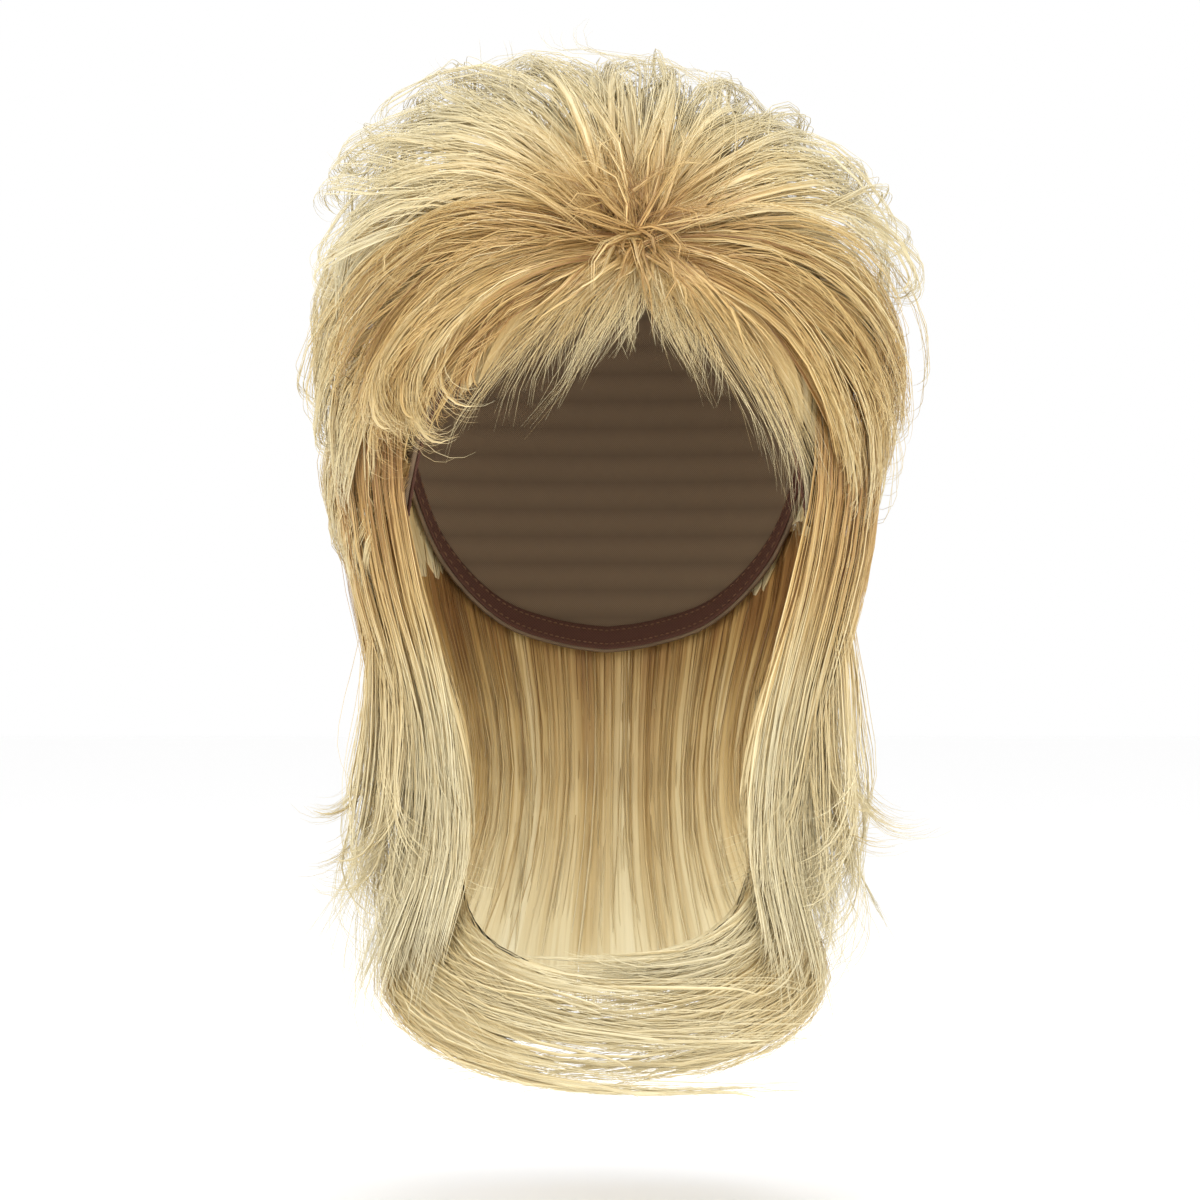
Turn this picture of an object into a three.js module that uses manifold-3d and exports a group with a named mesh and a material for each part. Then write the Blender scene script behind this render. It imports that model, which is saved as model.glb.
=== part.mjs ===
// A blonde mullet wig as it sits on a head: short puffed layers that spread from a swirl above the
// forehead, a sheer fringe, and long lengths that fall behind the ears and come round onto the chest.
// Millimetres, +Z up, the face looks along -Y, and the origin is the inside of the cap's crown.
// Every section of hair is one closed sheet of pointed locks, thick where the hair is full.
import * as THREE from "three";
import { mergeVertices } from "three/addons/utils/BufferGeometryUtils.js";
import Module from "manifold-3d";

const wasm = await Module();
wasm.setup();

// Driving dimensions
const HEAD_HALF_WIDTH = 77;
const HEAD_HALF_LENGTH = 97;
const DOME_HEIGHT = 108; // the ears' level up to the inside of the crown
const CAP_WALL = 1.6;
const BAND_WIDTH = 9;
const BAND_WALL = 1.2;
const CLEARANCE = 0.4; // between neighbouring pieces
const CROWN_PUFF = 50; // fullest hair above the scalp
const HANG_LENGTH = 215; // the ears' level down to the lowest tips
const SWEEP_DROP = 30; // how far the side sweeps sag at their tips
const TAIL_BULK = 32; // fullest stand-off of the long lengths from the neck
const FLICK_REACH = 26; // how far a flicked tip turns outwards
const GROOVE = 7; // depth of the valleys between locks
const TIP_WALL = 2.4; // thickness of a lock's tip

// Where the layers part: degrees round from straight ahead, and above the ears' level
const SWIRL = { around: 11, above: 50 };

const EARS_LEVEL = -DOME_HEIGHT;
const radians = THREE.MathUtils.degToRad;
const mix = THREE.MathUtils.lerp;
const clamp = THREE.MathUtils.clamp;
const smooth = (x) => THREE.MathUtils.smoothstep(x, 0, 1);

// A column of a table at a share of the way down its rows, on a smooth curve through them.
function column(rows, name, share) {
  const at = clamp(share, 0, 1) * (rows.length - 1);
  const low = Math.min(Math.floor(at), rows.length - 2);
  const part = at - low;
  const value = (i) => rows[clamp(i, 0, rows.length - 1)][name];
  const [before, first, second, after] = [low - 1, low, low + 1, low + 2].map(value);
  const leaving = (second - before) / 2;
  const arriving = (after - first) / 2;
  return (
    first +
    part * leaving +
    part ** 2 * (3 * (second - first) - 2 * leaving - arriving) +
    part ** 3 * (2 * (first - second) + leaving + arriving)
  );
}

// A table's columns at a share of the way along the named column's own values.
function columnAt(rows, key, value, name) {
  const last = rows.length - 1;
  let low = 0;
  while (low < last - 1 && rows[low + 1][key] <= value) low += 1;
  const part = clamp((value - rows[low][key]) / (rows[low + 1][key] - rows[low][key]), 0, 1);
  return column(rows, name, (low + part) / last);
}

// The unit direction at so many degrees round from straight ahead and above the ears' level.
function compass(around, above) {
  const a = radians(around);
  const e = radians(above);
  return new THREE.Vector3(Math.sin(a) * Math.cos(e), -Math.cos(a) * Math.cos(e), Math.sin(e));
}

// The direction reached from the swirl by setting out at a turn from straight up and going so far away.
const swirlOut = compass(SWIRL.around, SWIRL.above);
const swirlUp = compass(SWIRL.around, SWIRL.above + 90);
const swirlRight = compass(SWIRL.around + 90, 0);
function fromSwirl(turn, away) {
  const t = radians(turn);
  const heading = swirlUp.clone().multiplyScalar(Math.cos(t)).addScaledVector(swirlRight, Math.sin(t));
  return swirlOut.clone().multiplyScalar(Math.cos(radians(away))).addScaledVector(heading, Math.sin(radians(away)));
}

// The head is an ellipsoid, and hair lifts from it along its normal.
const headSize = new THREE.Vector3(HEAD_HALF_WIDTH, HEAD_HALF_LENGTH, DOME_HEIGHT);
const headNormal = (direction) => direction.clone().divide(headSize).normalize();
function onHead(direction, lift) {
  const point = direction.clone().multiply(headSize).addScaledVector(headNormal(direction), lift);
  point.z += EARS_LEVEL;
  return point;
}

// Half width, front and back of the neck and shoulders that the lengths hang round, by height,
// as shares of HANG_LENGTH down from the ears and of the head's half width and half length.
const NECK = [
  { down: -0.2, width: 0.97, front: 0.96, back: 0.97 },
  { down: 0.0, width: 1.03, front: 1.0, back: 1.03 },
  { down: 0.16, width: 0.97, front: 0.8, back: 0.97 },
  { down: 0.28, width: 0.86, front: 0.66, back: 0.88 },
  { down: 0.42, width: 0.74, front: 0.55, back: 0.77 },
  { down: 0.56, width: 0.7, front: 0.5, back: 0.72 },
  { down: 0.67, width: 0.78, front: 0.52, back: 0.74 },
  { down: 0.84, width: 1.02, front: 0.62, back: 0.82 },
  { down: 1.0, width: 1.12, front: 0.68, back: 0.9 },
];

// The point round the neck at an angle, a share of the hang and a stand-off.
function roundNeck(around, down, stand) {
  const a = radians(around);
  const width = columnAt(NECK, "down", down, "width") * HEAD_HALF_WIDTH;
  const depth = columnAt(NECK, "down", down, Math.cos(a) > 0 ? "front" : "back") * HEAD_HALF_LENGTH;
  const normal = new THREE.Vector3(Math.sin(a) / width, -Math.cos(a) / depth, 0).normalize();
  const point = new THREE.Vector3(Math.sin(a) * width, -Math.cos(a) * depth, EARS_LEVEL - down * HANG_LENGTH);
  return point.addScaledVector(normal, stand);
}

// Layers that grow over the head. turn, start and end are degrees from the swirl; root, middle and tip
// are the outer surface's lift there, as shares of CROWN_PUFF; drop is the sag as a share of SWEEP_DROP.
// under is where, along its length, the layer leaves the scalp, and steps the facets along it.
const LAYERS = {
  crown_front: {
    locks: 12, steps: 5, under: 0.4,
    rows: [
      { turn: -84, start: 2.5, end: 56, root: 0.1, middle: 0.74, tip: 0.86, drop: 0 },
      { turn: -55, start: 2.5, end: 60, root: 0.1, middle: 0.88, tip: 1.04, drop: 0 },
      { turn: -28, start: 2.5, end: 62, root: 0.1, middle: 0.86, tip: 0.98, drop: 0 },
      { turn: 0, start: 2.5, end: 61, root: 0.1, middle: 0.82, tip: 0.92, drop: 0 },
      { turn: 28, start: 2.5, end: 60, root: 0.1, middle: 0.8, tip: 0.88, drop: 0 },
      { turn: 55, start: 2.5, end: 58, root: 0.1, middle: 0.8, tip: 0.92, drop: 0 },
      { turn: 84, start: 2.5, end: 56, root: 0.1, middle: 0.76, tip: 0.88, drop: 0 },
    ],
  },
  sweep_left: {
    locks: 7, steps: 5, under: 0.4,
    rows: [
      { turn: -117, start: 6, end: 63, root: 0.1, middle: 0.26, tip: 0.24, drop: 0 },
      { turn: -106, start: 3, end: 74, root: 0.1, middle: 0.46, tip: 0.34, drop: 0.2 },
      { turn: -96, start: 2.5, end: 78, root: 0.1, middle: 0.62, tip: 0.46, drop: 0.3 },
      { turn: -84, start: 2.5, end: 76, root: 0.1, middle: 0.78, tip: 0.68, drop: 0.1 },
    ],
  },
  sweep_right: {
    locks: 7, steps: 5, under: 0.4,
    rows: [
      { turn: 84, start: 2.5, end: 76, root: 0.1, middle: 0.78, tip: 0.74, drop: 0.1 },
      { turn: 96, start: 2.5, end: 80, root: 0.1, middle: 0.64, tip: 0.52, drop: 0.3 },
      { turn: 106, start: 3, end: 78, root: 0.1, middle: 0.5, tip: 0.4, drop: 0.3 },
      { turn: 117, start: 6, end: 72, root: 0.1, middle: 0.32, tip: 0.3, drop: 0.2 },
    ],
  },
  fringe_left: {
    locks: 8, steps: 4, under: 0.7,
    rows: [
      { turn: -178, start: 3, end: 22, root: 0.07, middle: 0.09, tip: 0.1, drop: 0 },
      { turn: -156, start: 3, end: 27, root: 0.08, middle: 0.11, tip: 0.12, drop: 0 },
      { turn: -138, start: 3, end: 38, root: 0.09, middle: 0.14, tip: 0.14, drop: 0 },
      { turn: -127, start: 5, end: 51, root: 0.1, middle: 0.18, tip: 0.18, drop: 0 },
      { turn: -118, start: 7, end: 60, root: 0.1, middle: 0.22, tip: 0.22, drop: 0 },
    ],
  },
  fringe_right: {
    locks: 8, steps: 4, under: 0.7,
    rows: [
      { turn: 118, start: 7, end: 69, root: 0.1, middle: 0.28, tip: 0.28, drop: 0.2 },
      { turn: 127, start: 5, end: 65, root: 0.1, middle: 0.22, tip: 0.24, drop: 0.1 },
      { turn: 138, start: 3, end: 52, root: 0.09, middle: 0.16, tip: 0.17, drop: 0 },
      { turn: 156, start: 3, end: 33, root: 0.08, middle: 0.12, tip: 0.13, drop: 0 },
      { turn: 178, start: 3, end: 23, root: 0.07, middle: 0.09, tip: 0.1, drop: 0 },
    ],
  },
  crown_left: {
    locks: 7, steps: 4, under: 0.4,
    rows: [
      { turn: -104, start: 46, end: 88, root: 0.08, middle: 0.28, tip: 0.28, drop: 0.3 },
      { turn: -86, start: 42, end: 88, root: 0.08, middle: 0.46, tip: 0.44, drop: 0.3 },
      { turn: -64, start: 36, end: 88, root: 0.08, middle: 0.72, tip: 0.7, drop: 0.2 },
      { turn: -42, start: 36, end: 90, root: 0.08, middle: 0.8, tip: 0.86, drop: 0.1 },
    ],
  },
  crown_right: {
    locks: 7, steps: 4, under: 0.4,
    rows: [
      { turn: 42, start: 36, end: 90, root: 0.08, middle: 0.78, tip: 0.82, drop: 0.1 },
      { turn: 64, start: 36, end: 88, root: 0.08, middle: 0.76, tip: 0.74, drop: 0.2 },
      { turn: 86, start: 42, end: 88, root: 0.08, middle: 0.56, tip: 0.54, drop: 0.3 },
      { turn: 104, start: 48, end: 90, root: 0.08, middle: 0.34, tip: 0.36, drop: 0.3 },
    ],
  },
  crown_back: {
    locks: 8, steps: 4, under: 0.4,
    rows: [
      { turn: -41, start: 36, end: 90, root: 0.08, middle: 0.8, tip: 0.86, drop: 0.1 },
      { turn: -14, start: 36, end: 94, root: 0.08, middle: 0.8, tip: 0.88, drop: 0 },
      { turn: 14, start: 36, end: 94, root: 0.08, middle: 0.8, tip: 0.88, drop: 0 },
      { turn: 41, start: 36, end: 90, root: 0.08, middle: 0.78, tip: 0.84, drop: 0.1 },
    ],
  },
  side_left: {
    locks: 6, steps: 4, under: 0.4,
    rows: [
      { turn: -103, start: 74, end: 102, root: 0.08, middle: 0.26, tip: 0.32, drop: 0.1 },
      { turn: -86, start: 72, end: 110, root: 0.08, middle: 0.36, tip: 0.4, drop: 0.3 },
      { turn: -68, start: 70, end: 116, root: 0.08, middle: 0.58, tip: 0.54, drop: 0.4 },
      { turn: -50, start: 70, end: 118, root: 0.08, middle: 0.74, tip: 0.68, drop: 0.3 },
    ],
  },
  side_right: {
    locks: 6, steps: 4, under: 0.4,
    rows: [
      { turn: 50, start: 71, end: 118, root: 0.08, middle: 0.74, tip: 0.7, drop: 0.3 },
      { turn: 68, start: 70, end: 116, root: 0.08, middle: 0.64, tip: 0.6, drop: 0.4 },
      { turn: 86, start: 72, end: 110, root: 0.08, middle: 0.46, tip: 0.5, drop: 0.3 },
      { turn: 103, start: 76, end: 102, root: 0.08, middle: 0.34, tip: 0.4, drop: 0.1 },
    ],
  },
  back_upper: {
    locks: 8, steps: 4, under: 0.4,
    rows: [
      { turn: -49, start: 69, end: 118, root: 0.08, middle: 0.74, tip: 0.72, drop: 0.3 },
      { turn: -17, start: 69, end: 122, root: 0.08, middle: 0.76, tip: 0.76, drop: 0.1 },
      { turn: 17, start: 69, end: 122, root: 0.08, middle: 0.76, tip: 0.76, drop: 0.1 },
      { turn: 49, start: 69, end: 118, root: 0.08, middle: 0.72, tip: 0.72, drop: 0.3 },
    ],
  },
  nape_layer: {
    locks: 10, steps: 4, under: 0.4,
    rows: [
      { turn: -78, start: 99, end: 128, root: 0.08, middle: 0.34, tip: 0.46, drop: 0.5 },
      { turn: -46, start: 102, end: 141, root: 0.08, middle: 0.58, tip: 0.58, drop: 0.8 },
      { turn: 0, start: 105, end: 150, root: 0.08, middle: 0.66, tip: 0.6, drop: 0.8 },
      { turn: 46, start: 102, end: 141, root: 0.08, middle: 0.58, tip: 0.58, drop: 0.8 },
      { turn: 78, start: 99, end: 128, root: 0.08, middle: 0.34, tip: 0.46, drop: 0.5 },
    ],
  },
};

// Lengths that hang round the neck. from and to are degrees round from straight ahead at root and tip;
// top and bottom are shares of HANG_LENGTH; root, middle and tip are the stand-off of the thickness's
// midline and bulk the thickness, as shares of TAIL_BULK; flick is the tip's turn outwards as a share
// of FLICK_REACH. late is how late the locks turn round the neck, and settle how soon they level out.
const FLICKS = {
  left: {
    locks: 3, steps: 5, late: 1, settle: 1.5,
    rows: [
      { from: -76, to: -84, top: 0.16, bottom: 0.6, root: 0.4, middle: 0.84, tip: 1.0, bulk: 0.24, flick: 0.4 },
      { from: -88, to: -96, top: 0.16, bottom: 0.65, root: 0.4, middle: 0.86, tip: 1.0, bulk: 0.24, flick: 0.8 },
    ],
  },
  right: {
    locks: 4, steps: 5, late: 1, settle: 1.7,
    rows: [
      { from: 90, to: 98, top: 0.16, bottom: 0.6, root: 0.4, middle: 0.86, tip: 0.96, bulk: 0.26, flick: 0.9 },
      { from: 74, to: 80, top: 0.16, bottom: 0.54, root: 0.4, middle: 0.8, tip: 0.98, bulk: 0.26, flick: 0.9 },
    ],
  },
};
const LENGTHS = {
  tail_left: {
    locks: 8, steps: 5, late: 1, settle: 1, flicks: FLICKS.left,
    rows: [
      { from: -64, to: -44, top: -0.07, bottom: 0.76, root: 0.14, middle: 0.32, tip: 0.36, bulk: 0.3, flick: 0 },
      { from: -74, to: -56, top: -0.07, bottom: 0.8, root: 0.14, middle: 0.42, tip: 0.52, bulk: 0.44, flick: 0 },
      { from: -88, to: -72, top: -0.05, bottom: 0.78, root: 0.14, middle: 0.5, tip: 0.7, bulk: 0.5, flick: 0 },
      { from: -102, to: -90, top: -0.02, bottom: 0.72, root: 0.14, middle: 0.58, tip: 0.9, bulk: 0.4, flick: 0.1 },
    ],
  },
  tail_right: {
    locks: 8, steps: 5, late: 1, settle: 1, flicks: FLICKS.right,
    rows: [
      { from: 102, to: 90, top: -0.02, bottom: 0.7, root: 0.14, middle: 0.58, tip: 0.76, bulk: 0.4, flick: 0.1 },
      { from: 88, to: 71, top: -0.05, bottom: 0.78, root: 0.14, middle: 0.52, tip: 0.62, bulk: 0.5, flick: 0 },
      { from: 75, to: 55, top: -0.07, bottom: 0.8, root: 0.14, middle: 0.42, tip: 0.5, bulk: 0.44, flick: 0 },
      { from: 65, to: 43, top: -0.07, bottom: 0.76, root: 0.14, middle: 0.32, tip: 0.36, bulk: 0.3, flick: 0 },
    ],
  },
  chest_left: {
    locks: 8, steps: 6, late: 1.3, settle: 2,
    rows: [
      { from: -98, to: 6, top: 0.3, bottom: 0.81, root: 0.08, middle: 0.1, tip: 0.5, bulk: 0.2, flick: 0 },
      { from: -110, to: 10, top: 0.3, bottom: 0.9, root: 0.08, middle: 0.2, tip: 0.5, bulk: 0.3, flick: 0 },
      { from: -122, to: 7, top: 0.3, bottom: 0.99, root: 0.08, middle: 0.32, tip: 0.4, bulk: 0.26, flick: 0 },
    ],
  },
  chest_right: {
    locks: 8, steps: 6, late: 1.3, settle: 2,
    rows: [
      { from: 122, to: -5, top: 0.3, bottom: 0.98, root: 0.08, middle: 0.26, tip: 0.16, bulk: 0.26, flick: 0 },
      { from: 110, to: -10, top: 0.3, bottom: 0.89, root: 0.08, middle: 0.16, tip: 0.14, bulk: 0.3, flick: 0 },
      { from: 98, to: -6, top: 0.3, bottom: 0.79, root: 0.08, middle: 0.1, tip: 0.14, bulk: 0.2, flick: 0 },
    ],
  },
  back_length: {
    locks: 14, steps: 5, late: 1, settle: 1.2,
    rows: [
      { from: 265, to: 254, top: 0.1, bottom: 0.68, root: 0.12, middle: 0.4, tip: 0.5, bulk: 0.3, flick: 0.3 },
      { from: 226, to: 218, top: 0.14, bottom: 0.86, root: 0.12, middle: 0.42, tip: 0.42, bulk: 0.44, flick: 0.4 },
      { from: 180, to: 180, top: 0.16, bottom: 0.93, root: 0.12, middle: 0.42, tip: 0.4, bulk: 0.44, flick: 0.4 },
      { from: 134, to: 142, top: 0.14, bottom: 0.86, root: 0.12, middle: 0.42, tip: 0.42, bulk: 0.44, flick: 0.4 },
      { from: 95, to: 106, top: 0.1, bottom: 0.68, root: 0.12, middle: 0.4, tip: 0.5, bulk: 0.3, flick: 0.3 },
    ],
  },
};

// The rim of the cap: degrees above the ears' level, by degrees round from straight ahead.
const CAP_RIM = [
  { around: 0, above: 36 },
  { around: 18, above: 36 },
  { around: 36, above: 30 },
  { around: 54, above: 14 },
  { around: 72, above: -9 },
  { around: 90, above: 2 },
  { around: 108, above: 2 },
  { around: 126, above: -16 },
  { around: 144, above: -28 },
  { around: 162, above: -33 },
  { around: 180, above: -35 },
];
const CAP_COLUMNS = 36;
const CAP_ROWS = 5;
const LOCK_COLUMNS = 2;

// A closed solid from two facing grids of points, joined round their edges.
function between(outer, inner, closedRound) {
  const columns = outer.length;
  const rows = outer[0].length;
  const points = [...outer.flat(), ...inner.flat()];
  const index = (side, i, j) => side * columns * rows + (i % columns) * rows + j;
  const faces = [];
  const quad = (a, b, c, d) => faces.push([a, b, c], [a, c, d]);
  const steps = closedRound ? columns : columns - 1;
  for (let i = 0; i < steps; i += 1) {
    for (let j = 0; j < rows - 1; j += 1) {
      quad(index(0, i, j), index(0, i, j + 1), index(0, i + 1, j + 1), index(0, i + 1, j));
      quad(index(1, i, j), index(1, i + 1, j), index(1, i + 1, j + 1), index(1, i, j + 1));
    }
    quad(index(0, i, 0), index(0, i + 1, 0), index(1, i + 1, 0), index(1, i, 0));
    quad(index(0, i + 1, rows - 1), index(0, i, rows - 1), index(1, i, rows - 1), index(1, i + 1, rows - 1));
  }
  if (!closedRound) {
    for (let j = 0; j < rows - 1; j += 1) {
      quad(index(0, 0, j + 1), index(0, 0, j), index(1, 0, j), index(1, 0, j + 1));
      const last = columns - 1;
      quad(index(0, last, j), index(0, last, j + 1), index(1, last, j + 1), index(1, last, j));
    }
  }
  return solidFrom(points, faces);
}

// A manifold solid from points and faces, with doubled points merged and the faces pointing out.
function solidFrom(points, faces) {
  const geometry = new THREE.BufferGeometry().setFromPoints(points).setIndex(faces.flat());
  const merged = mergeVertices(geometry, 1e-3);
  const found = merged.index.array;
  const kept = [];
  for (let i = 0; i < found.length; i += 3) {
    const [a, b, c] = [found[i], found[i + 1], found[i + 2]];
    if (a !== b && b !== c && c !== a) kept.push([a, b, c]);
  }
  const make = (list) =>
    new wasm.Manifold(
      new wasm.Mesh({
        numProp: 3,
        vertProperties: merged.attributes.position.array,
        triVerts: new Uint32Array(list.flat()),
      }),
    );
  const solid = make(kept);
  return solid.volume() < 0 ? make(kept.map(([a, b, c]) => [a, c, b])) : solid;
}

// A smooth curve through three values, at the start, the middle and the end.
const through = (first, middle, last, t) =>
  first * (1 - t) * (1 - 2 * t) + 4 * middle * t * (1 - t) + last * t * (2 * t - 1);

// How full a lock is across its width: 0 in the valley between two locks and 1 along its crest.
const crest = (share, locks) => Math.sin(Math.PI * ((share * locks) % 1)) ** 0.7;

// How much of the length a lock has at a place across the section: less in the valleys, and each
// lock ends at its own length.
const NOTCH = 0.2;
const STAGGER = 0.1;
const GOLDEN = (Math.sqrt(5) - 1) / 2;
function reach(share, locks) {
  const fullness = crest(share, locks);
  const uneven = (Math.floor(share * locks) * GOLDEN) % 1;
  return 1 - NOTCH * (1 - fullness) - STAGGER * fullness * uneven;
}

// The outer and inner points of a layer that grows over the head, at shares across and along it.
function layerAt(layer, across, along) {
  const value = (name) => column(layer.rows, name, across);
  const full = crest(across, layer.locks);
  const t = along * reach(across, layer.locks);
  const direction = fromSwirl(value("turn"), mix(value("start"), value("end"), t));
  const lift = through(value("root"), value("middle"), value("tip"), t) * CROWN_PUFF;
  const valley = Math.min(GROOVE, 0.5 * lift) * (0.25 + 0.75 * t) * (1 - full);
  const wall = mix(lift, TIP_WALL, smooth((t - layer.under) / (1 - layer.under)));
  const outer = Math.max(lift - valley, SCALP + TIP_WALL);
  const inner = clamp(lift - wall, SCALP, outer - 0.6 * TIP_WALL);
  const sag = new THREE.Vector3(0, 0, -value("drop") * SWEEP_DROP * t ** 2);
  return { outer: onHead(direction, outer).add(sag), inner: onHead(direction, inner).add(sag) };
}

// Hair starts this far above the head: clear of the cap, and of the dip of a facet between two columns.
const SCALP = CAP_WALL + CLEARANCE + HEAD_HALF_LENGTH * (1 - Math.cos(radians(9)));

// The outer and inner points of a length that hangs round the neck, at shares across and along it.
function lengthAt(length, across, along) {
  const value = (name) => column(length.rows, name, across);
  const full = crest(across, length.locks);
  const t = along * reach(across, length.locks);
  const around = mix(value("from"), value("to"), t ** length.late);
  const down = mix(value("top"), value("bottom"), 1 - (1 - t) ** length.settle);
  const standOff = through(value("root"), value("middle"), value("tip"), t) * TAIL_BULK;
  const middle = standOff + value("flick") * FLICK_REACH * t ** 3;
  const bulk = value("bulk") * TAIL_BULK * (0.35 + 0.65 * smooth(2 * t)) * (1 - 0.75 * t ** 3);
  const valley = Math.min(GROOVE, 0.4 * bulk) * (0.3 + 0.7 * t) * (1 - full);
  const half = Math.max(bulk / 2 - valley, TIP_WALL / 2);
  return {
    outer: roundNeck(around, down, middle + half),
    inner: roundNeck(around, down, middle - bulk / 2),
  };
}

// One section of hair as a solid, fuller all round by the margin.
function section(form, table, margin) {
  const at = form === "layer" ? layerAt : lengthAt;
  const columns = table.locks * LOCK_COLUMNS;
  const grid = { outer: [], inner: [] };
  for (let i = 0; i <= columns; i += 1) {
    const line = Array.from({ length: table.steps + 1 }, (_, j) => at(table, i / columns, j / table.steps));
    for (const side of ["outer", "inner"]) grid[side].push(line.map((pair) => pair[side]));
  }
  return margin ? between(...swollen(grid.outer, grid.inner, margin), false) : between(grid.outer, grid.inner, false);
}

// A section with the flicked locks that grow from it, if it has any.
function joined(form, table, margin) {
  const main = section(form, table, margin);
  return table.flicks ? main.add(section(form, table.flicks, margin)) : main;
}

// Two facing grids moved apart, and their edges moved out, by the margin.
function swollen(outer, inner, margin) {
  const columns = outer.length;
  const rows = outer[0].length;
  const moved = [outer, inner].map((grid, side) =>
    grid.map((line, i) =>
      line.map((point, j) => {
        const facing = (side ? outer : inner)[i][j];
        const out = point.clone().sub(facing).normalize().multiplyScalar(margin);
        if (i === 0) out.addScaledVector(point.clone().sub(grid[1][j]).normalize(), margin);
        if (i === columns - 1) out.addScaledVector(point.clone().sub(grid[i - 1][j]).normalize(), margin);
        if (j === 0) out.addScaledVector(point.clone().sub(line[1]).normalize(), margin);
        if (j === rows - 1) out.addScaledVector(point.clone().sub(line[j - 1]).normalize(), margin);
        return point.clone().add(out);
      }),
    ),
  );
  return moved;
}

// A shell over the head between two lifts, from the crown to the rim, or only the rim's own band.
function headShell(low, high, bandOnly) {
  const outer = [];
  const inner = [];
  const bandAngle = THREE.MathUtils.radToDeg(BAND_WIDTH / HEAD_HALF_LENGTH);
  for (let i = 0; i < CAP_COLUMNS; i += 1) {
    const around = (360 * i) / CAP_COLUMNS;
    const rim = columnAt(CAP_RIM, "around", around > 180 ? 360 - around : around, "above");
    const bandTop = rim + bandAngle;
    const crown = Array.from({ length: CAP_ROWS }, (_, j) => mix(90, bandTop, j / CAP_ROWS));
    const levels = bandOnly ? [bandTop, rim] : [...crown, bandTop, rim];
    const line = (lift) => levels.map((above) => onHead(compass(around, above), lift));
    outer.push(line(high));
    inner.push(line(low));
  }
  return between(outer, inner, true);
}

// The biggest closed body of a solid, for sections whose edges a neighbour trims away.
function biggest(solid) {
  const bodies = solid.decompose();
  return bodies.reduce((best, body) => (body.volume() > best.volume() ? body : best));
}

// A named mesh of a solid in a colour.
function meshOf(name, solid, colour, roughness) {
  const found = solid.getMesh();
  const geometry = new THREE.BufferGeometry();
  geometry.setAttribute("position", new THREE.BufferAttribute(new Float32Array(found.vertProperties), 3));
  geometry.setIndex(new THREE.BufferAttribute(new Uint32Array(found.triVerts), 1));
  geometry.computeVertexNormals();
  const material = new THREE.MeshStandardMaterial({ color: colour, roughness, metalness: 0, flatShading: true });
  const mesh = new THREE.Mesh(geometry, material);
  mesh.name = name;
  return mesh;
}

const wig = new THREE.Group();
const cap = headShell(0, CAP_WALL, false);
wig.add(meshOf("cap", cap, "#5d4630", 0.9));
wig.add(meshOf("edge_band", headShell(-CLEARANCE - BAND_WALL, -CLEARANCE, true), "#4a3323", 0.8));

// Sections that lie on top come first, and each later one is trimmed clear of all before it.
const taken = [headShell(-CLEARANCE, CAP_WALL + CLEARANCE, false)];
for (const [form, tables] of [["layer", LAYERS], ["length", LENGTHS]]) {
  for (const [name, table] of Object.entries(tables)) {
    const whole = joined(form, table, 0);
    const clear = taken.reduce((left, other) => left.subtract(other), whole);
    wig.add(meshOf(name, biggest(clear), "#dcc389", 0.55));
    taken.push(joined(form, table, CLEARANCE).add(whole));
  }
}

export default wig;
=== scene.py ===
"""Blonde mullet wig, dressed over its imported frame.

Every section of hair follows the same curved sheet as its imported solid. Layers spread over the head
from a swirl above the forehead, and lengths hang round the neck. Each section is one piece: a ribbed
underlayer that fills it, and fine tapered strands, gathered into locks, that give it its outside.
Sizes are in millimetres until they go into a mesh, +Z is up and the face looks along -Y.
"""

from __future__ import annotations

import logging
from abc import ABC, abstractmethod
from collections.abc import Mapping, Sequence
from dataclasses import dataclass, field, replace
from enum import Enum

import bpy
import numpy as np
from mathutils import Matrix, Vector

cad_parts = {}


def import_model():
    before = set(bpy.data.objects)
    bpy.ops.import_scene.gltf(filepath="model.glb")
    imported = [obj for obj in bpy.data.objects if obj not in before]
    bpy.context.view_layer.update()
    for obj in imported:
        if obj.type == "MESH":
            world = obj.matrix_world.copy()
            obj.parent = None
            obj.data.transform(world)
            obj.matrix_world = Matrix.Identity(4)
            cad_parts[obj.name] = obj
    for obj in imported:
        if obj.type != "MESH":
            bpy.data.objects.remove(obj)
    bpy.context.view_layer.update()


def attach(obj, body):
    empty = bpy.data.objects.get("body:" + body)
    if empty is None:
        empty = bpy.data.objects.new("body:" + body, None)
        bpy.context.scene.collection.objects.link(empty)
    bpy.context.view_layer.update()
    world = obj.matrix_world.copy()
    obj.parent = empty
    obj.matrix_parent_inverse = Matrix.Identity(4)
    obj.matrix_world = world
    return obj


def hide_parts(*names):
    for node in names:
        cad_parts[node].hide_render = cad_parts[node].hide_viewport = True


LOG = logging.getLogger("mullet_wig")
MM = 0.001
GOLDEN = 0.6180339887
# Across the UV map the strands' tones come first, from the margin on, and then the underlayer's.
UV_MARGIN = 0.01
STRAND_TONES = 0.42
FILLING_TONES = (0.52, 0.98)
# How many single shades, broad shades and streaks the UV map has.
SHADES_ACROSS = 420.0
BROAD_SHADES = 36.0
STREAKS_ALONG = 5.0
Array = np.ndarray
Stop = tuple[float, tuple[float, float, float]]


def smooth(x: Array) -> Array:
    """Ease from 0 to 1 with level ends: 3x^2 - 2x^3, held outside 0 to 1."""
    x = np.clip(x, 0.0, 1.0)
    return x * x * (3.0 - 2.0 * x)


def through(first: Array, middle: Array, last: Array, t: Array) -> Array:
    """The parabola through three values, at t of 0, a half and 1."""
    return first * (1 - t) * (1 - 2 * t) + 4 * middle * t * (1 - t) + last * t * (2 * t - 1)


def unit(vectors: Array) -> Array:
    """Vectors scaled to length 1 along their last axis."""
    return vectors / np.maximum(np.linalg.norm(vectors, axis=-1, keepdims=True), 1e-9)


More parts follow.
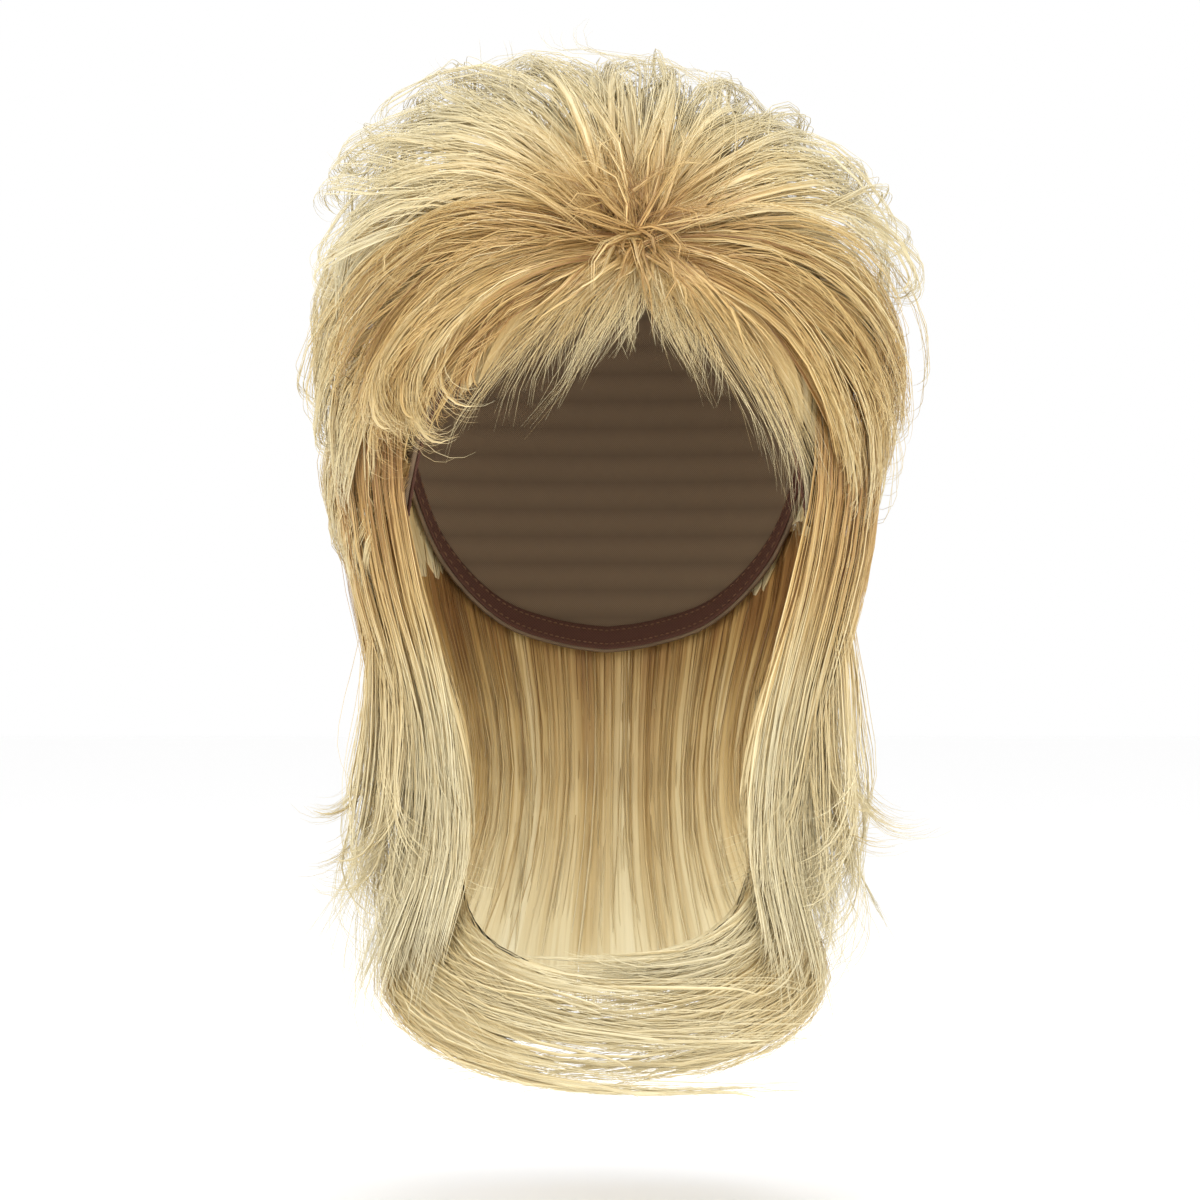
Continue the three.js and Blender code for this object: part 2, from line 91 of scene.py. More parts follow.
def column(values: Array, share: Array) -> Array:
    """Read a table's column at a share of the way down it.

    A cubic with the slopes of the rows on either side joins each row to the next.

    Args:
        values: The column, one number a row.
        share: Where to read, 0 at the first row and 1 at the last.

    Returns:
        The values read, shaped as share is.
    """
    last = len(values) - 1
    at = np.clip(share, 0.0, 1.0) * last
    low = np.minimum(np.floor(at), last - 1).astype(int)
    part = at - low
    before, first, second, after = (values[np.clip(low + k, 0, last)] for k in (-1, 0, 1, 2))
    leaving, arriving = (second - before) / 2, (after - first) / 2
    return (
        first
        + part * leaving
        + part**2 * (3 * (second - first) - 2 * leaving - arriving)
        + part**3 * (2 * (first - second) + leaving + arriving)
    )


def pale_crown_shaded_band(level: Array) -> Array:
    """How much paler hair is at a height in mm: paler and ashier on top of the crown, and darker and more
    golden from brow to jaw, partly its tone and partly painted shade under the crown's bulge.
    """
    golden = smooth((-22 - level) / 50) * smooth((level + 192) / 45)
    # The golden band from brow to jaw is partly painted shade under the crown's bulge.
    return 0.3 * smooth((level + 25) / 60) - 0.22 * golden


@dataclass(frozen=True)
class Head:
    """The head that the wig is shaped for: an ellipsoid, with the swirl that the hair spreads from."""

    half_width: float = 77.0
    half_length: float = 97.0
    dome_height: float = 108.0
    swirl_around: float = 11.0
    swirl_above: float = 50.0

    def compass(self, around: Array, above: Array) -> Array:
        """Unit directions at so many degrees round from straight ahead and above the ears' level."""
        a, e = np.radians(around), np.radians(above)
        return np.stack(np.broadcast_arrays(np.sin(a) * np.cos(e), -np.cos(a) * np.cos(e), np.sin(e)), -1)

    def from_swirl(self, turn: Array, away: Array) -> Array:
        """Unit directions reached from the swirl, setting out at a turn from straight up.

        The direction is out * cos(away) + heading * sin(away), where heading is turned between
        the swirl's up and right directions.

        Args:
            turn: Degrees from straight up, positive to the right.
            away: Degrees gone from the swirl.

        Returns:
            Directions, with x, y, z on the last axis.
        """
        out = self.compass(self.swirl_around, self.swirl_above)
        up = self.compass(self.swirl_around, self.swirl_above + 90)
        right = self.compass(self.swirl_around + 90, 0.0)
        t, w = np.radians(turn)[..., None], np.radians(away)[..., None]
        return np.cos(w) * out + np.sin(w) * (np.cos(t) * up + np.sin(t) * right)

    def surface(self, direction: Array, lift: Array) -> Array:
        """Points at a lift above the head: direction * sizes + normal * lift, crown at the origin.

        Args:
            direction: Unit directions from the head's middle.
            lift: Millimetres above the head.

        Returns:
            Points, with x, y, z on the last axis.
        """
        sizes = np.array([self.half_width, self.half_length, self.dome_height])
        normal = unit(direction / sizes)
        point = direction * sizes + normal * np.asarray(lift)[..., None]
        point[..., 2] -= self.dome_height
        return point


@dataclass(frozen=True)
class Neck:
    """The neck and shoulders that the lengths hang round, as half-ellipses by height."""

    hang: float = 215.0
    down: Sequence[float] = (-0.2, 0.0, 0.16, 0.28, 0.42, 0.56, 0.67, 0.84, 1.0)
    width: Sequence[float] = (0.97, 1.03, 0.97, 0.86, 0.74, 0.70, 0.78, 1.02, 1.12)
    front: Sequence[float] = (0.96, 1.0, 0.8, 0.66, 0.55, 0.5, 0.52, 0.62, 0.68)
    back: Sequence[float] = (0.97, 1.03, 0.97, 0.88, 0.77, 0.72, 0.74, 0.82, 0.9)

    def surface(self, head: Head, around: Array, down: Array, stand: Array) -> Array:
        """Points that stand off the neck.

        A level is two half-ellipses that share their width; a point is on one of them, moved
        along its outward normal.

        Args:
            head: The head, whose sizes scale the neck's shares.
            around: Degrees round from straight ahead.
            down: Shares of the hang below the ears' level.
            stand: Millimetres off the neck.

        Returns:
            Points, with x, y, z on the last axis.
        """
        a = np.radians(around)
        levels = np.array(self.down)
        share = np.interp(down, levels, np.linspace(0, 1, len(levels)))
        width = column(np.array(self.width), share) * head.half_width
        front = column(np.array(self.front), share)
        back = column(np.array(self.back), share)
        depth = np.where(np.cos(a) > 0, front, back) * head.half_length
        normal = unit(np.stack([np.sin(a) / width, -np.cos(a) / depth, np.zeros_like(width + a)], -1))
        level = -head.dome_height - down * self.hang
        point = np.stack(np.broadcast_arrays(np.sin(a) * width, -np.cos(a) * depth, level), -1)
        return point + normal * np.asarray(stand)[..., None]


HEAD = Head()
NECK = Neck()


@dataclass(frozen=True)
class Sheet(ABC):
    """A curved sheet of hair: places by a share across it, a share along it and a share of its depth.

    The columns hold one value for each row of guide hairs across the sheet.
    """

    columns: Mapping[str, Sequence[float]]

    def value(self, name: str, across: Array) -> Array:
        """A column at a share of the way across the sheet."""
        return column(np.array(self.columns[name], dtype=float), across)

    @abstractmethod
    def place(self, across: Array, along: Array, depth: Array) -> Array:
        """Points of the sheet; depth is 0 at its inside and 1 at its outside."""

    def outward(self, across: Array, along: Array) -> Array:
        """Unit vectors from the sheet's inside to its outside."""
        ones = np.ones_like(across + along)
        return unit(self.place(across, along, ones) - self.place(across, along, 0 * ones))


@dataclass(frozen=True)
class Layer(Sheet):
    """Hair that grows over the head from the swirl and lifts off the scalp."""

    puff: float = 50.0
    sag: float = 30.0
    scalp: float = 2.6
    drape: float = 1.3

    def place(self, across: Array, along: Array, depth: Array) -> Array:
        """Head surface at turn(across) and start..end(along), lifted from the scalp to the puff.

        Past the end of the sheet the lift falls again by the drape, so that long tips lie down.

        Args:
            across: Shares of the way across the sheet.
            along: Shares of the way along it.
            depth: 0 at its inside and 1 at its outside.

        Returns:
            Points, with x, y, z on the last axis.
        """
        away = self.value("start", across) + (self.value("end", across) - self.value("start", across)) * along
        lift = through(*(self.value(n, across) for n in ("root", "middle", "tip")), np.minimum(along, 1))
        lift = (lift - self.drape * np.maximum(along - 1, 0)) * self.puff
        lift = self.scalp + (np.maximum(lift, self.scalp + 1) - self.scalp) * depth
        point = HEAD.surface(HEAD.from_swirl(self.value("turn", across) + 0 * along, away), lift)
        point[..., 2] -= self.value("drop", across) * self.sag * along**2
        return point


@dataclass(frozen=True)
class Length(Sheet):
    """Hair that hangs round the neck from under the layers."""

    late: float = 1.0
    settle: float = 1.0
    bulk: float = 32.0
    flick: float = 26.0

    def place(self, across: Array, along: Array, depth: Array) -> Array:
        """Neck surface that turns and sinks along the hair, at a stand-off across its thickness.

        The thickness is bulk * (0.35 + 0.65 * smooth(2t)) * (1 - 0.75 * t^3).

        Args:
            across: Shares of the way across the sheet.
            along: Shares of the way along it.
            depth: 0 at its inside and 1 at its outside.

        Returns:
            Points, with x, y, z on the last axis.
        """
        t = np.clip(along, 0.0, 1.2)
        start, end = self.value("from", across), self.value("to", across)
        around = start + (end - start) * t**self.late
        top, bottom = self.value("top", across), self.value("bottom", across)
        beyond = np.maximum(t - 1, 0) * (self.settle == 1)
        down = top + (bottom - top) * (1 - (1 - np.minimum(t, 1)) ** self.settle + beyond)
        middle = through(*(self.value(n, across) for n in ("root", "middle", "tip")), t) * self.bulk
        middle = middle + self.value("flick", across) * self.flick * t**3
        swell = (0.35 + 0.65 * smooth(2 * t)) * (1 - 0.75 * np.minimum(t, 1) ** 3)
        thickness = self.value("bulk", across) * self.bulk * swell
        return NECK.surface(HEAD, around, down, middle + (depth - 0.5) * thickness)


def table(names: str, *rows: Sequence[float]) -> Mapping[str, Sequence[float]]:
    """A table's columns by name, from its rows."""
    return dict(zip(names.split(), zip(*rows)))


LAYER_COLUMNS = "turn start end root middle tip drop"
LENGTH_COLUMNS = "from to top bottom root middle tip bulk flick"


class Section(Enum):
    """The sheets of hair: one for each section, under its node's name, and those of the roots and veils."""

    CROWN_FRONT = Layer(table(
        LAYER_COLUMNS,
        (-84, 2.5, 56, 0.1, 0.74, 0.86, 0),
        (-55, 2.5, 60, 0.1, 0.88, 1.04, 0),
        (-28, 2.5, 62, 0.1, 0.86, 0.98, 0),
        (0, 2.5, 61, 0.1, 0.82, 0.92, 0),
        (28, 2.5, 60, 0.1, 0.8, 0.88, 0),
        (55, 2.5, 58, 0.1, 0.8, 0.92, 0),
        (84, 2.5, 56, 0.1, 0.76, 0.88, 0),
    ))
    SWEEP_LEFT = Layer(table(
        LAYER_COLUMNS,
        (-117, 6, 63, 0.1, 0.26, 0.24, 0),
        (-106, 3, 74, 0.1, 0.46, 0.34, 0.2),
        (-96, 2.5, 78, 0.1, 0.62, 0.46, 0.3),
        (-84, 2.5, 76, 0.1, 0.78, 0.68, 0.1),
    ))
    SWEEP_RIGHT = Layer(table(
        LAYER_COLUMNS,
        (84, 2.5, 76, 0.1, 0.78, 0.74, 0.1),
        (96, 2.5, 80, 0.1, 0.64, 0.52, 0.3),
        (106, 3, 78, 0.1, 0.5, 0.4, 0.3),
        (117, 6, 72, 0.1, 0.32, 0.3, 0.2),
    ))
    FRINGE_LEFT = Layer(table(
        LAYER_COLUMNS,
        (-178, 3, 22, 0.07, 0.09, 0.1, 0),
        (-156, 3, 27, 0.08, 0.11, 0.12, 0),
        (-138, 3, 38, 0.09, 0.14, 0.14, 0),
        (-127, 5, 51, 0.1, 0.18, 0.18, 0),
        (-118, 7, 60, 0.1, 0.22, 0.22, 0),
    ))
    FRINGE_RIGHT = Layer(table(
        LAYER_COLUMNS,
        (118, 7, 69, 0.1, 0.28, 0.28, 0.2),
        (127, 5, 65, 0.1, 0.22, 0.24, 0.1),
        (138, 3, 52, 0.09, 0.16, 0.17, 0),
        (156, 3, 33, 0.08, 0.12, 0.13, 0),
        (178, 3, 23, 0.07, 0.09, 0.1, 0),
    ))
    CROWN_LEFT = Layer(table(
        LAYER_COLUMNS,
        (-104, 46, 88, 0.08, 0.28, 0.28, 0.3),
        (-86, 42, 88, 0.08, 0.46, 0.44, 0.3),
        (-64, 36, 88, 0.08, 0.72, 0.7, 0.2),
        (-42, 36, 90, 0.08, 0.8, 0.86, 0.1),
    ))
    CROWN_RIGHT = Layer(table(
        LAYER_COLUMNS,
        (42, 36, 90, 0.08, 0.78, 0.82, 0.1),
        (64, 36, 88, 0.08, 0.76, 0.74, 0.2),
        (86, 42, 88, 0.08, 0.56, 0.54, 0.3),
        (104, 48, 90, 0.08, 0.34, 0.36, 0.3),
    ))
    CROWN_BACK = Layer(table(
        LAYER_COLUMNS,
        (-41, 36, 90, 0.08, 0.8, 0.86, 0.1),
        (-14, 36, 94, 0.08, 0.8, 0.88, 0),
        (14, 36, 94, 0.08, 0.8, 0.88, 0),
        (41, 36, 90, 0.08, 0.78, 0.84, 0.1),
    ))
    SIDE_LEFT = Layer(table(
        LAYER_COLUMNS,
        (-103, 74, 102, 0.08, 0.26, 0.32, 0.1),
        (-86, 72, 110, 0.08, 0.36, 0.4, 0.3),
        (-68, 70, 116, 0.08, 0.58, 0.54, 0.4),
        (-50, 70, 118, 0.08, 0.74, 0.68, 0.3),
    ))
    SIDE_RIGHT = Layer(table(
        LAYER_COLUMNS,
        (50, 71, 118, 0.08, 0.74, 0.7, 0.3),
        (68, 70, 116, 0.08, 0.64, 0.6, 0.4),
        (86, 72, 110, 0.08, 0.46, 0.5, 0.3),
        (103, 76, 102, 0.08, 0.34, 0.4, 0.1),
    ))
    BACK_UPPER = Layer(table(
        LAYER_COLUMNS,
        (-49, 69, 118, 0.08, 0.74, 0.72, 0.3),
        (-17, 69, 122, 0.08, 0.76, 0.76, 0.1),
        (17, 69, 122, 0.08, 0.76, 0.76, 0.1),
        (49, 69, 118, 0.08, 0.72, 0.72, 0.3),
    ))
    NAPE_LAYER = Layer(table(
        LAYER_COLUMNS,
        (-78, 99, 128, 0.08, 0.34, 0.46, 0.5),
        (-46, 102, 141, 0.08, 0.58, 0.58, 0.8),
        (0, 105, 150, 0.08, 0.66, 0.6, 0.8),
        (46, 102, 141, 0.08, 0.58, 0.58, 0.8),
        (78, 99, 128, 0.08, 0.34, 0.46, 0.5),
    ))
    WHORL = Layer(table(
        LAYER_COLUMNS,
        (-180, -7, 20, 0.06, 0.16, 0.26, 0),
        (-90, -7, 24, 0.1, 0.42, 0.56, 0),
        (0, -7, 26, 0.1, 0.5, 0.66, 0),
        (90, -7, 24, 0.1, 0.42, 0.56, 0),
        (180, -7, 20, 0.06, 0.16, 0.26, 0),
    ))
    TAIL_LEFT = Length(table(
        LENGTH_COLUMNS,
        (-64, -44, -0.07, 0.76, 0.14, 0.32, 0.36, 0.3, 0),
        (-74, -56, -0.07, 0.8, 0.14, 0.42, 0.52, 0.44, 0),
        (-88, -72, -0.05, 0.78, 0.14, 0.5, 0.7, 0.5, 0),
        (-102, -90, -0.02, 0.72, 0.14, 0.58, 0.9, 0.4, 0.1),
    ))
    TAIL_RIGHT = Length(table(
        LENGTH_COLUMNS,
        (102, 90, -0.02, 0.7, 0.14, 0.58, 0.76, 0.4, 0.1),
        (88, 71, -0.05, 0.78, 0.14, 0.52, 0.62, 0.5, 0),
        (75, 55, -0.07, 0.8, 0.14, 0.42, 0.5, 0.44, 0),
        (65, 43, -0.07, 0.76, 0.14, 0.32, 0.36, 0.3, 0),
    ))
    VEIL_LEFT = Length(table(
        LENGTH_COLUMNS,
        (-58, -50, -0.16, 0.56, 0.3, 0.3, 0.46, 0.3, 0),
        (-72, -64, -0.2, 0.66, 0.56, 0.46, 0.7, 0.36, 0),
        (-88, -80, -0.2, 0.72, 0.82, 0.6, 0.96, 0.4, 0),
        (-108, -98, -0.2, 0.7, 0.84, 0.62, 1.0, 0.4, 0.1),
    ))
    VEIL_RIGHT = Length(table(
        LENGTH_COLUMNS,
        (108, 98, -0.2, 0.7, 0.76, 0.66, 0.94, 0.4, 0.1),
        (88, 78, -0.2, 0.7, 0.74, 0.66, 0.86, 0.4, 0),
        (73, 63, -0.2, 0.66, 0.52, 0.5, 0.6, 0.36, 0),
        (60, 50, -0.16, 0.56, 0.3, 0.3, 0.46, 0.3, 0),
    ))
    CHEST_LEFT = Length(table(
        LENGTH_COLUMNS,
        (-98, 6, 0.3, 0.81, 0.08, 0.1, 0.5, 0.2, 0),
        (-110, 10, 0.3, 0.9, 0.08, 0.2, 0.5, 0.3, 0),
        (-122, 7, 0.3, 0.99, 0.08, 0.32, 0.4, 0.26, 0),
    ), late=1.3, settle=2.0)
    CHEST_RIGHT = Length(table(
        LENGTH_COLUMNS,
        (122, -5, 0.3, 0.98, 0.08, 0.26, 0.16, 0.26, 0),
        (110, -10, 0.3, 0.89, 0.08, 0.16, 0.14, 0.3, 0),
        (98, -6, 0.3, 0.79, 0.08, 0.1, 0.14, 0.2, 0),
    ), late=1.3, settle=2.0)
    BACK_LENGTH = Length(table(
        LENGTH_COLUMNS,
        (272, 256, 0.06, 0.68, 0.12, 0.4, 0.5, 0.3, 0.3),
        (226, 218, 0.07, 0.86, 0.12, 0.42, 0.42, 0.44, 0.4),
        (180, 180, 0.12, 0.93, 0.12, 0.42, 0.4, 0.44, 0.4),
        (134, 142, 0.07, 0.86, 0.12, 0.42, 0.42, 0.44, 0.4),
        (88, 104, 0.06, 0.68, 0.12, 0.4, 0.5, 0.3, 0.3),
    ), settle=1.2)


def sheet_of(name: str) -> Sheet:
    """The sheet that a section's name stands for."""
    return Section[name.upper()].value


@dataclass(frozen=True)
class Strands:
    """How the fine strands of a section grow and gather into locks.

    Shares are of the sheet's width, length or depth; angles are degrees and sizes millimetres.
    """

    locks: int
    each: int
    across: tuple[float, float] = (0.0, 1.0)
    starts: tuple[float, float] = (0.0, 0.4)
    ends: tuple[float, float] = (0.84, 1.02)
    depths: tuple[float, float] = (0.66, 1.02)
    spread: float = 0.035
    thickness: float = 0.08
    gather: float = 0.6
    rise: float = 3.0
    scatter: float = 2.5
    sway: float = 0.02
    wave: float = 1.0
    feather: float = 0.05
    turns: tuple[float, float] = (0.7, 1.5)
    phase: tuple[float, float] = (0.0, 6.3)
    frizz: float = 0.3
    half_width: float = 0.2
    half_thick: float = 0.13
    core: float = 2.6
    drift: float = 0.0
    loft: float = 0.0
    shade: tuple[float, float] = (0.0, 1.0)
    body_rings: int = 6
    curl_rings: int = 3
    curl: tuple[float, float] = (10.0, 80.0)
    radius: tuple[float, float] = (7.0, 14.0)
    lean: tuple[float, float] = (-60.0, 60.0)


@dataclass
class MeshParts:
    """Arrays that build up one mesh: points, faces of four or three corners, UVs and finish slots."""

    points: list[Array] = field(default_factory=list)
    faces: list[Array] = field(default_factory=list)
    uvs: list[Array] = field(default_factory=list)
    slots: list[Array] = field(default_factory=list)
    count: int = 0

    def add(self, points: Array, faces: Array, uvs: Array, slot: int) -> None:
        """Add faces of one kind.

        Args:
            points: Points in millimetres, one a row; none to reuse the last points added.
            faces: Corner numbers within those points, one face a row.
            uvs: UV pairs for each corner of each face.
            slot: The finish slot of the faces.
        """
        base = self.count
        if len(points):
            self.points.append(points.reshape(-1, 3))
            self.count += len(self.points[-1])
        else:
            base -= len(self.points[-1])
        self.faces.append(faces + base)
        self.uvs.append(uvs.reshape(-1, 2))
        self.slots.append(np.full(len(faces), slot))

    def build(self, name: str) -> bpy.types.Object:
        """Put the arrays into a new object's mesh.

        Args:
            name: The object's name.

        Returns:
            The linked object, with its UV map kept for baking.
        """
        mesh = bpy.data.meshes.new(name)
        points = np.concatenate(self.points) * MM
        corners = np.concatenate([f.ravel() for f in self.faces])
        totals = np.concatenate([np.full(len(f), f.shape[1]) for f in self.faces])
        starts = np.concatenate([[0], np.cumsum(totals)[:-1]])
        mesh.vertices.add(len(points))
        mesh.vertices.foreach_set("co", points.astype(np.float32).ravel())
        mesh.loops.add(len(corners))
        mesh.loops.foreach_set("vertex_index", corners.astype(np.int32))
        mesh.polygons.add(len(totals))
        mesh.polygons.foreach_set("loop_start", starts.astype(np.int32))
        mesh.polygons.foreach_set("loop_total", totals.astype(np.int32))
        mesh.polygons.foreach_set("material_index", np.concatenate(self.slots).astype(np.int32))
        mesh.polygons.foreach_set("use_smooth", np.ones(len(totals), dtype=bool))
        layer = mesh.uv_layers.new(name="OFBake")
        layer.data.foreach_set("uv", np.concatenate(self.uvs).astype(np.float32).ravel())
        mesh.update(calc_edges=True)
        mesh.validate()
        piece = bpy.data.objects.new(name, mesh)
        bpy.context.scene.collection.objects.link(piece)
        return piece


def up_map(height: Array) -> Array:
    """How far up the UV map a height from 0 to 1 lies, inside the margin."""
    return UV_MARGIN + (1 - 2 * UV_MARGIN) * np.clip(height, 0.0, 1.0)


def grid_uv(columns: int, rows: int) -> Array:
    """UV pairs from 0 to 1 both ways for the points of a grid, column by column."""
    return np.stack([np.repeat(np.linspace(0, 1, columns), rows),
                     np.tile(np.linspace(0, 1, rows), columns)], -1)


@dataclass(frozen=True)
class Tube:
    """A closed tapered tube's cross-section: where its corners stand, and how wide it is on the UV map."""

    angles: tuple[float, ...] = (90.0, 210.0, 330.0)
    swath: float = 0.004

    def add(self, parts: MeshParts, path: Array, side: Array, half_width: Array, half_thick: Array,
            tone: Array, height: Array, slot: int = 0) -> None:
        """Carry the cross-section along many paths at once, and close both ends of each.

        Each corner is half_width * cos(a) * side + half_thick * sin(a) * normal off the path, with
        side carried along the path so that it doesn't twist.

        Args:
            parts: The mesh's arrays.
            path: Paths, strands by rings by 3.
            side: The wide direction at each root, strands by 3.
            half_width: Half widths, strands by rings.
            half_thick: Half thicknesses, strands by rings.
            tone: Each strand's place across the UV map.
            height: How far up the UV map each ring lies, strands by rings.
            slot: The finish slot.
        """
        count, rings = path.shape[:2]
        corners = len(self.angles)
        tangent = unit(np.gradient(path, axis=1))
        sides = np.empty_like(path)
        across = side
        for ring in range(rings):
            along = tangent[:, ring]
            across = unit(across - np.sum(across * along, -1, keepdims=True) * along)
            sides[:, ring] = across
        normals = np.cross(sides, tangent)
        angles = np.radians(self.angles)
        points = (
            path[:, :, None]
            + np.cos(angles)[:, None] * sides[:, :, None] * half_width[..., None, None]
            + np.sin(angles)[:, None] * normals[:, :, None] * half_thick[..., None, None]
        )
        strand = np.arange(count)[:, None, None] * rings * corners
        ring = np.arange(rings - 1)[:, None] * corners
        k = np.arange(corners)
        low, high = strand + ring + k, strand + ring + (k + 1) % corners
        quads = np.stack([low, high, high + corners, low + corners], -1).reshape(-1, 4)
        place = (0.5 - 0.5 * np.cos(angles)) * self.swath
        u = np.stack([place, np.roll(place, -1), np.roll(place, -1), place], -1)
        u = tone[:, None, None, None] + u
        v = up_map(height) + np.linspace(0.0, 0.001, rings)
        pairs = np.stack([v[:, :-1], v[:, :-1], v[:, 1:], v[:, 1:]], -1)[:, :, None, :]
        parts.add(points, quads, np.stack(np.broadcast_arrays(u, pairs + 0 * k[:, None]), -1), slot)
        first = strand[:, 0] + k[::-1]
        last = strand[:, 0] + corners * (rings - 1) + k
        ends = np.concatenate([first, last])
        places = np.repeat([place[::-1], place], count, axis=0)
        raised = np.repeat([0.006 * np.sin(angles)[::-1], 0.006 * np.sin(angles)], count, axis=0)
        tones = np.tile(tone, 2)[:, None] + places
        heights = np.concatenate([v[:, 0], v[:, -1]])[:, None] + raised
        parts.add(np.empty((0, 3)), ends, np.stack([tones, heights], -1), slot)


STRAND = Tube()
CORE = Tube(angles=(0.0, 50.0, 90.0, 130.0, 180.0, 270.0), swath=0.045)


@dataclass(frozen=True)
class Growth:
    """Strands that grow along a sheet, with a flat core inside each lock."""

    sheet: Sheet
    style: Strands

    def dress(self, parts: MeshParts, seed: int, slot: int) -> None:
        """Add every lock's fine strands, and the core that fills it.

        Args:
            parts: The mesh's arrays.
            seed: Where its variety starts.
            slot: The finish slot.
        """
        style = self.style
        rng = np.random.default_rng(seed + 1000)
        rank = rng.random(style.locks) ** 0.7
        # Deeper locks take tones lower across the UV map, which the colour group darkens: painted shade
        # inside the hair.
        tone = UV_MARGIN + STRAND_TONES * np.clip(0.7 * rank + 0.3 * rng.random(style.locks), 0, 1)
        path, side, height = self.paths(rank, np.random.default_rng(seed), rng, style.each)
        s = np.linspace(0.0, 1.0, path.shape[1])[None, :]
        size = 0.7 + 0.6 * rng.random((len(path), 1))
        taper = size * (0.6 + 0.4 * smooth(6 * s)) * (1 - 0.85 * s**3)
        own = np.repeat(tone, style.each) + 0.045 * rng.random(len(path))
        STRAND.add(parts, path, side, style.half_width * taper, style.half_thick * taper, own, height, slot)
        if style.core:
            path, side, height = self.paths(rank, np.random.default_rng(seed), rng, 1)
            s = np.linspace(0.0, 1.0, path.shape[1])[None, :]
            size = 0.75 + 0.5 * rng.random((len(path), 1))
            taper = size * (0.45 + 0.55 * smooth(3 * s)) * (1 - 0.97 * s**2)
            CORE.add(parts, path, side, style.core * taper, 0.28 * style.core * taper, tone, height, slot)

    def paths(self, rank: Array, shared: np.random.Generator, own: np.random.Generator,
              each: int) -> tuple[Array, Array, Array]:
        """Work out the paths of the strands.

        A strand's place on the sheet runs from its own start to its end along a lock's line, rising
        from the scalp to the lock's depth, with a shared slow wave; its root stands a little to one
        side, so that roots cross, and its tip leaves the sheet on an arc.

        Args:
            rank: How far out each lock lies, from 0 to 1.
            shared: The seeded source of each lock's variety.
            own: The seeded source of each strand's variety.
            each: How many strands to grow in a lock; one is the lock's own middle line.

        Returns:
            Paths, strands by rings by 3, the wide direction at each root, and each ring's place up
            the UV map.
        """
        style = self.style
        n = style.locks
        alone = 0.0 if each == 1 else 1.0

        def span(limits: tuple[float, float]) -> Array:
            """A value for each lock between two limits, repeated for its strands as a column."""
            return locks(limits[0] + (limits[1] - limits[0]) * shared.random(n))

        def locks(values: Array) -> Array:
            """A lock's values for each of its strands, as a column."""
            return np.repeat(values, each)[:, None]

        def stray(scale: float) -> Array:
            """A small value for each strand, as a column."""
            return alone * own.normal(0.0, scale, n * each)[:, None]

        place = (np.arange(n) * GOLDEN + shared.random()) % 1.0
        line = locks(style.across[0] + (style.across[1] - style.across[0]) * place)
        depth = locks(style.depths[0] + (style.depths[1] - style.depths[0]) * rank)
        buried = 0.25 * shared.random(n) + 0.75 * (1 - rank)
        start = locks(style.starts[0] + (style.starts[1] - style.starts[0]) * buried)
        end = span(style.ends)
        s = np.linspace(0.0, 1.0, style.body_rings)[None, :]
        start, end = start + stray(0.02), end + stray(style.feather)
        t = np.maximum(start + (end - start) * s, 0.0)
        pull = 1 - style.gather * s**1.5
        bend = (locks(shared.normal(0.0, style.sway, n)) + style.drift) * s**2
        u = np.clip(line + stray(style.spread / 2) * pull + bend, -0.04, 1.04)
        rise = 1 - (1 - s) ** style.rise
        d = (depth - (1 - alone) * 0.06 + stray(style.thickness / 2) * pull) * rise
        path = self.sheet.place(u, t, d)
        outward = self.sheet.outward(u, t)
        beside = unit(np.cross(unit(np.gradient(path, axis=1)), outward))
        angle = 2 * np.pi * s * span(style.turns) + span(style.phase)
        swing = np.sin(angle) * style.wave * s
        crossing = locks(shared.normal(0.0, style.scatter, n)) + stray(0.4 * style.scatter)
        swing = swing + crossing * (1 - s) ** 2
        lift = np.cos(angle) * style.wave * 0.7 * s + style.loft * s**3
        turns = own.random((n * each, 2))
        fuzz = alone * style.frizz * np.sin(2 * np.pi * s * (1.5 + 2 * turns[:, :1]) + 7 * turns[:, 1:]) * s
        path = path + beside * (swing + fuzz)[..., None] + outward * (lift + 0.6 * fuzz)[..., None]
        side = beside[:, 0]
        heading = unit(path[:, -1] - path[:, -2])
        out = unit(outward[:, -1] - np.sum(outward[:, -1] * heading, -1, keepdims=True) * heading)
        lean = np.radians(span(style.lean)) + stray(0.2)
        towards = np.cos(lean) * out + np.sin(lean) * np.cross(heading, out)
        angle = np.radians(span(style.curl)) * (1 + stray(0.1))
        radius = span(style.radius) * (1 + stray(0.08))
        height = t
        if style.curl_rings:
            curl = arcs(path[:, -1], heading, towards, angle, radius, style.curl_rings)
            path = np.concatenate([path, curl], axis=1)
            height = np.concatenate([t, t[:, -1:] + np.linspace(0.01, 0.08, style.curl_rings)], axis=1)
        height = style.shade[0] + (style.shade[1] - style.shade[0]) * np.minimum(height, 1.0)
        # Paler on the crown, and darker from brow to jaw, partly as painted shade.
        return path, side, height + pale_crown_shaded_band(path[..., 2])


def arcs(start: Array, heading: Array, towards: Array, angle: Array, radius: Array, rings: int) -> Array:
    """Carry paths on along arcs that tighten.

    The heading turns towards another direction, and each step is the arc's radius times its share
    of the angle, shorter by and by.

    Args:
        start: Where each arc starts, strands by 3.
        heading: The unit direction it sets out in.
        towards: The unit direction that it turns to, square to the heading.
        angle: Radians turned in all, a column.
        radius: Millimetres, a column.
        rings: How many points to add.

    Returns:
        The points, strands by rings by 3.
    """
    steps = np.arange(1, rings + 1)[None, :]
    turned = angle * (steps - 0.5) / rings
    length = np.abs(angle) * radius / rings * (1 - 0.4 * steps / rings)
    step = np.cos(turned)[..., None] * heading[:, None] + np.sin(turned)[..., None] * towards[:, None]
    return start[:, None] + np.cumsum(step * length[..., None], axis=1)


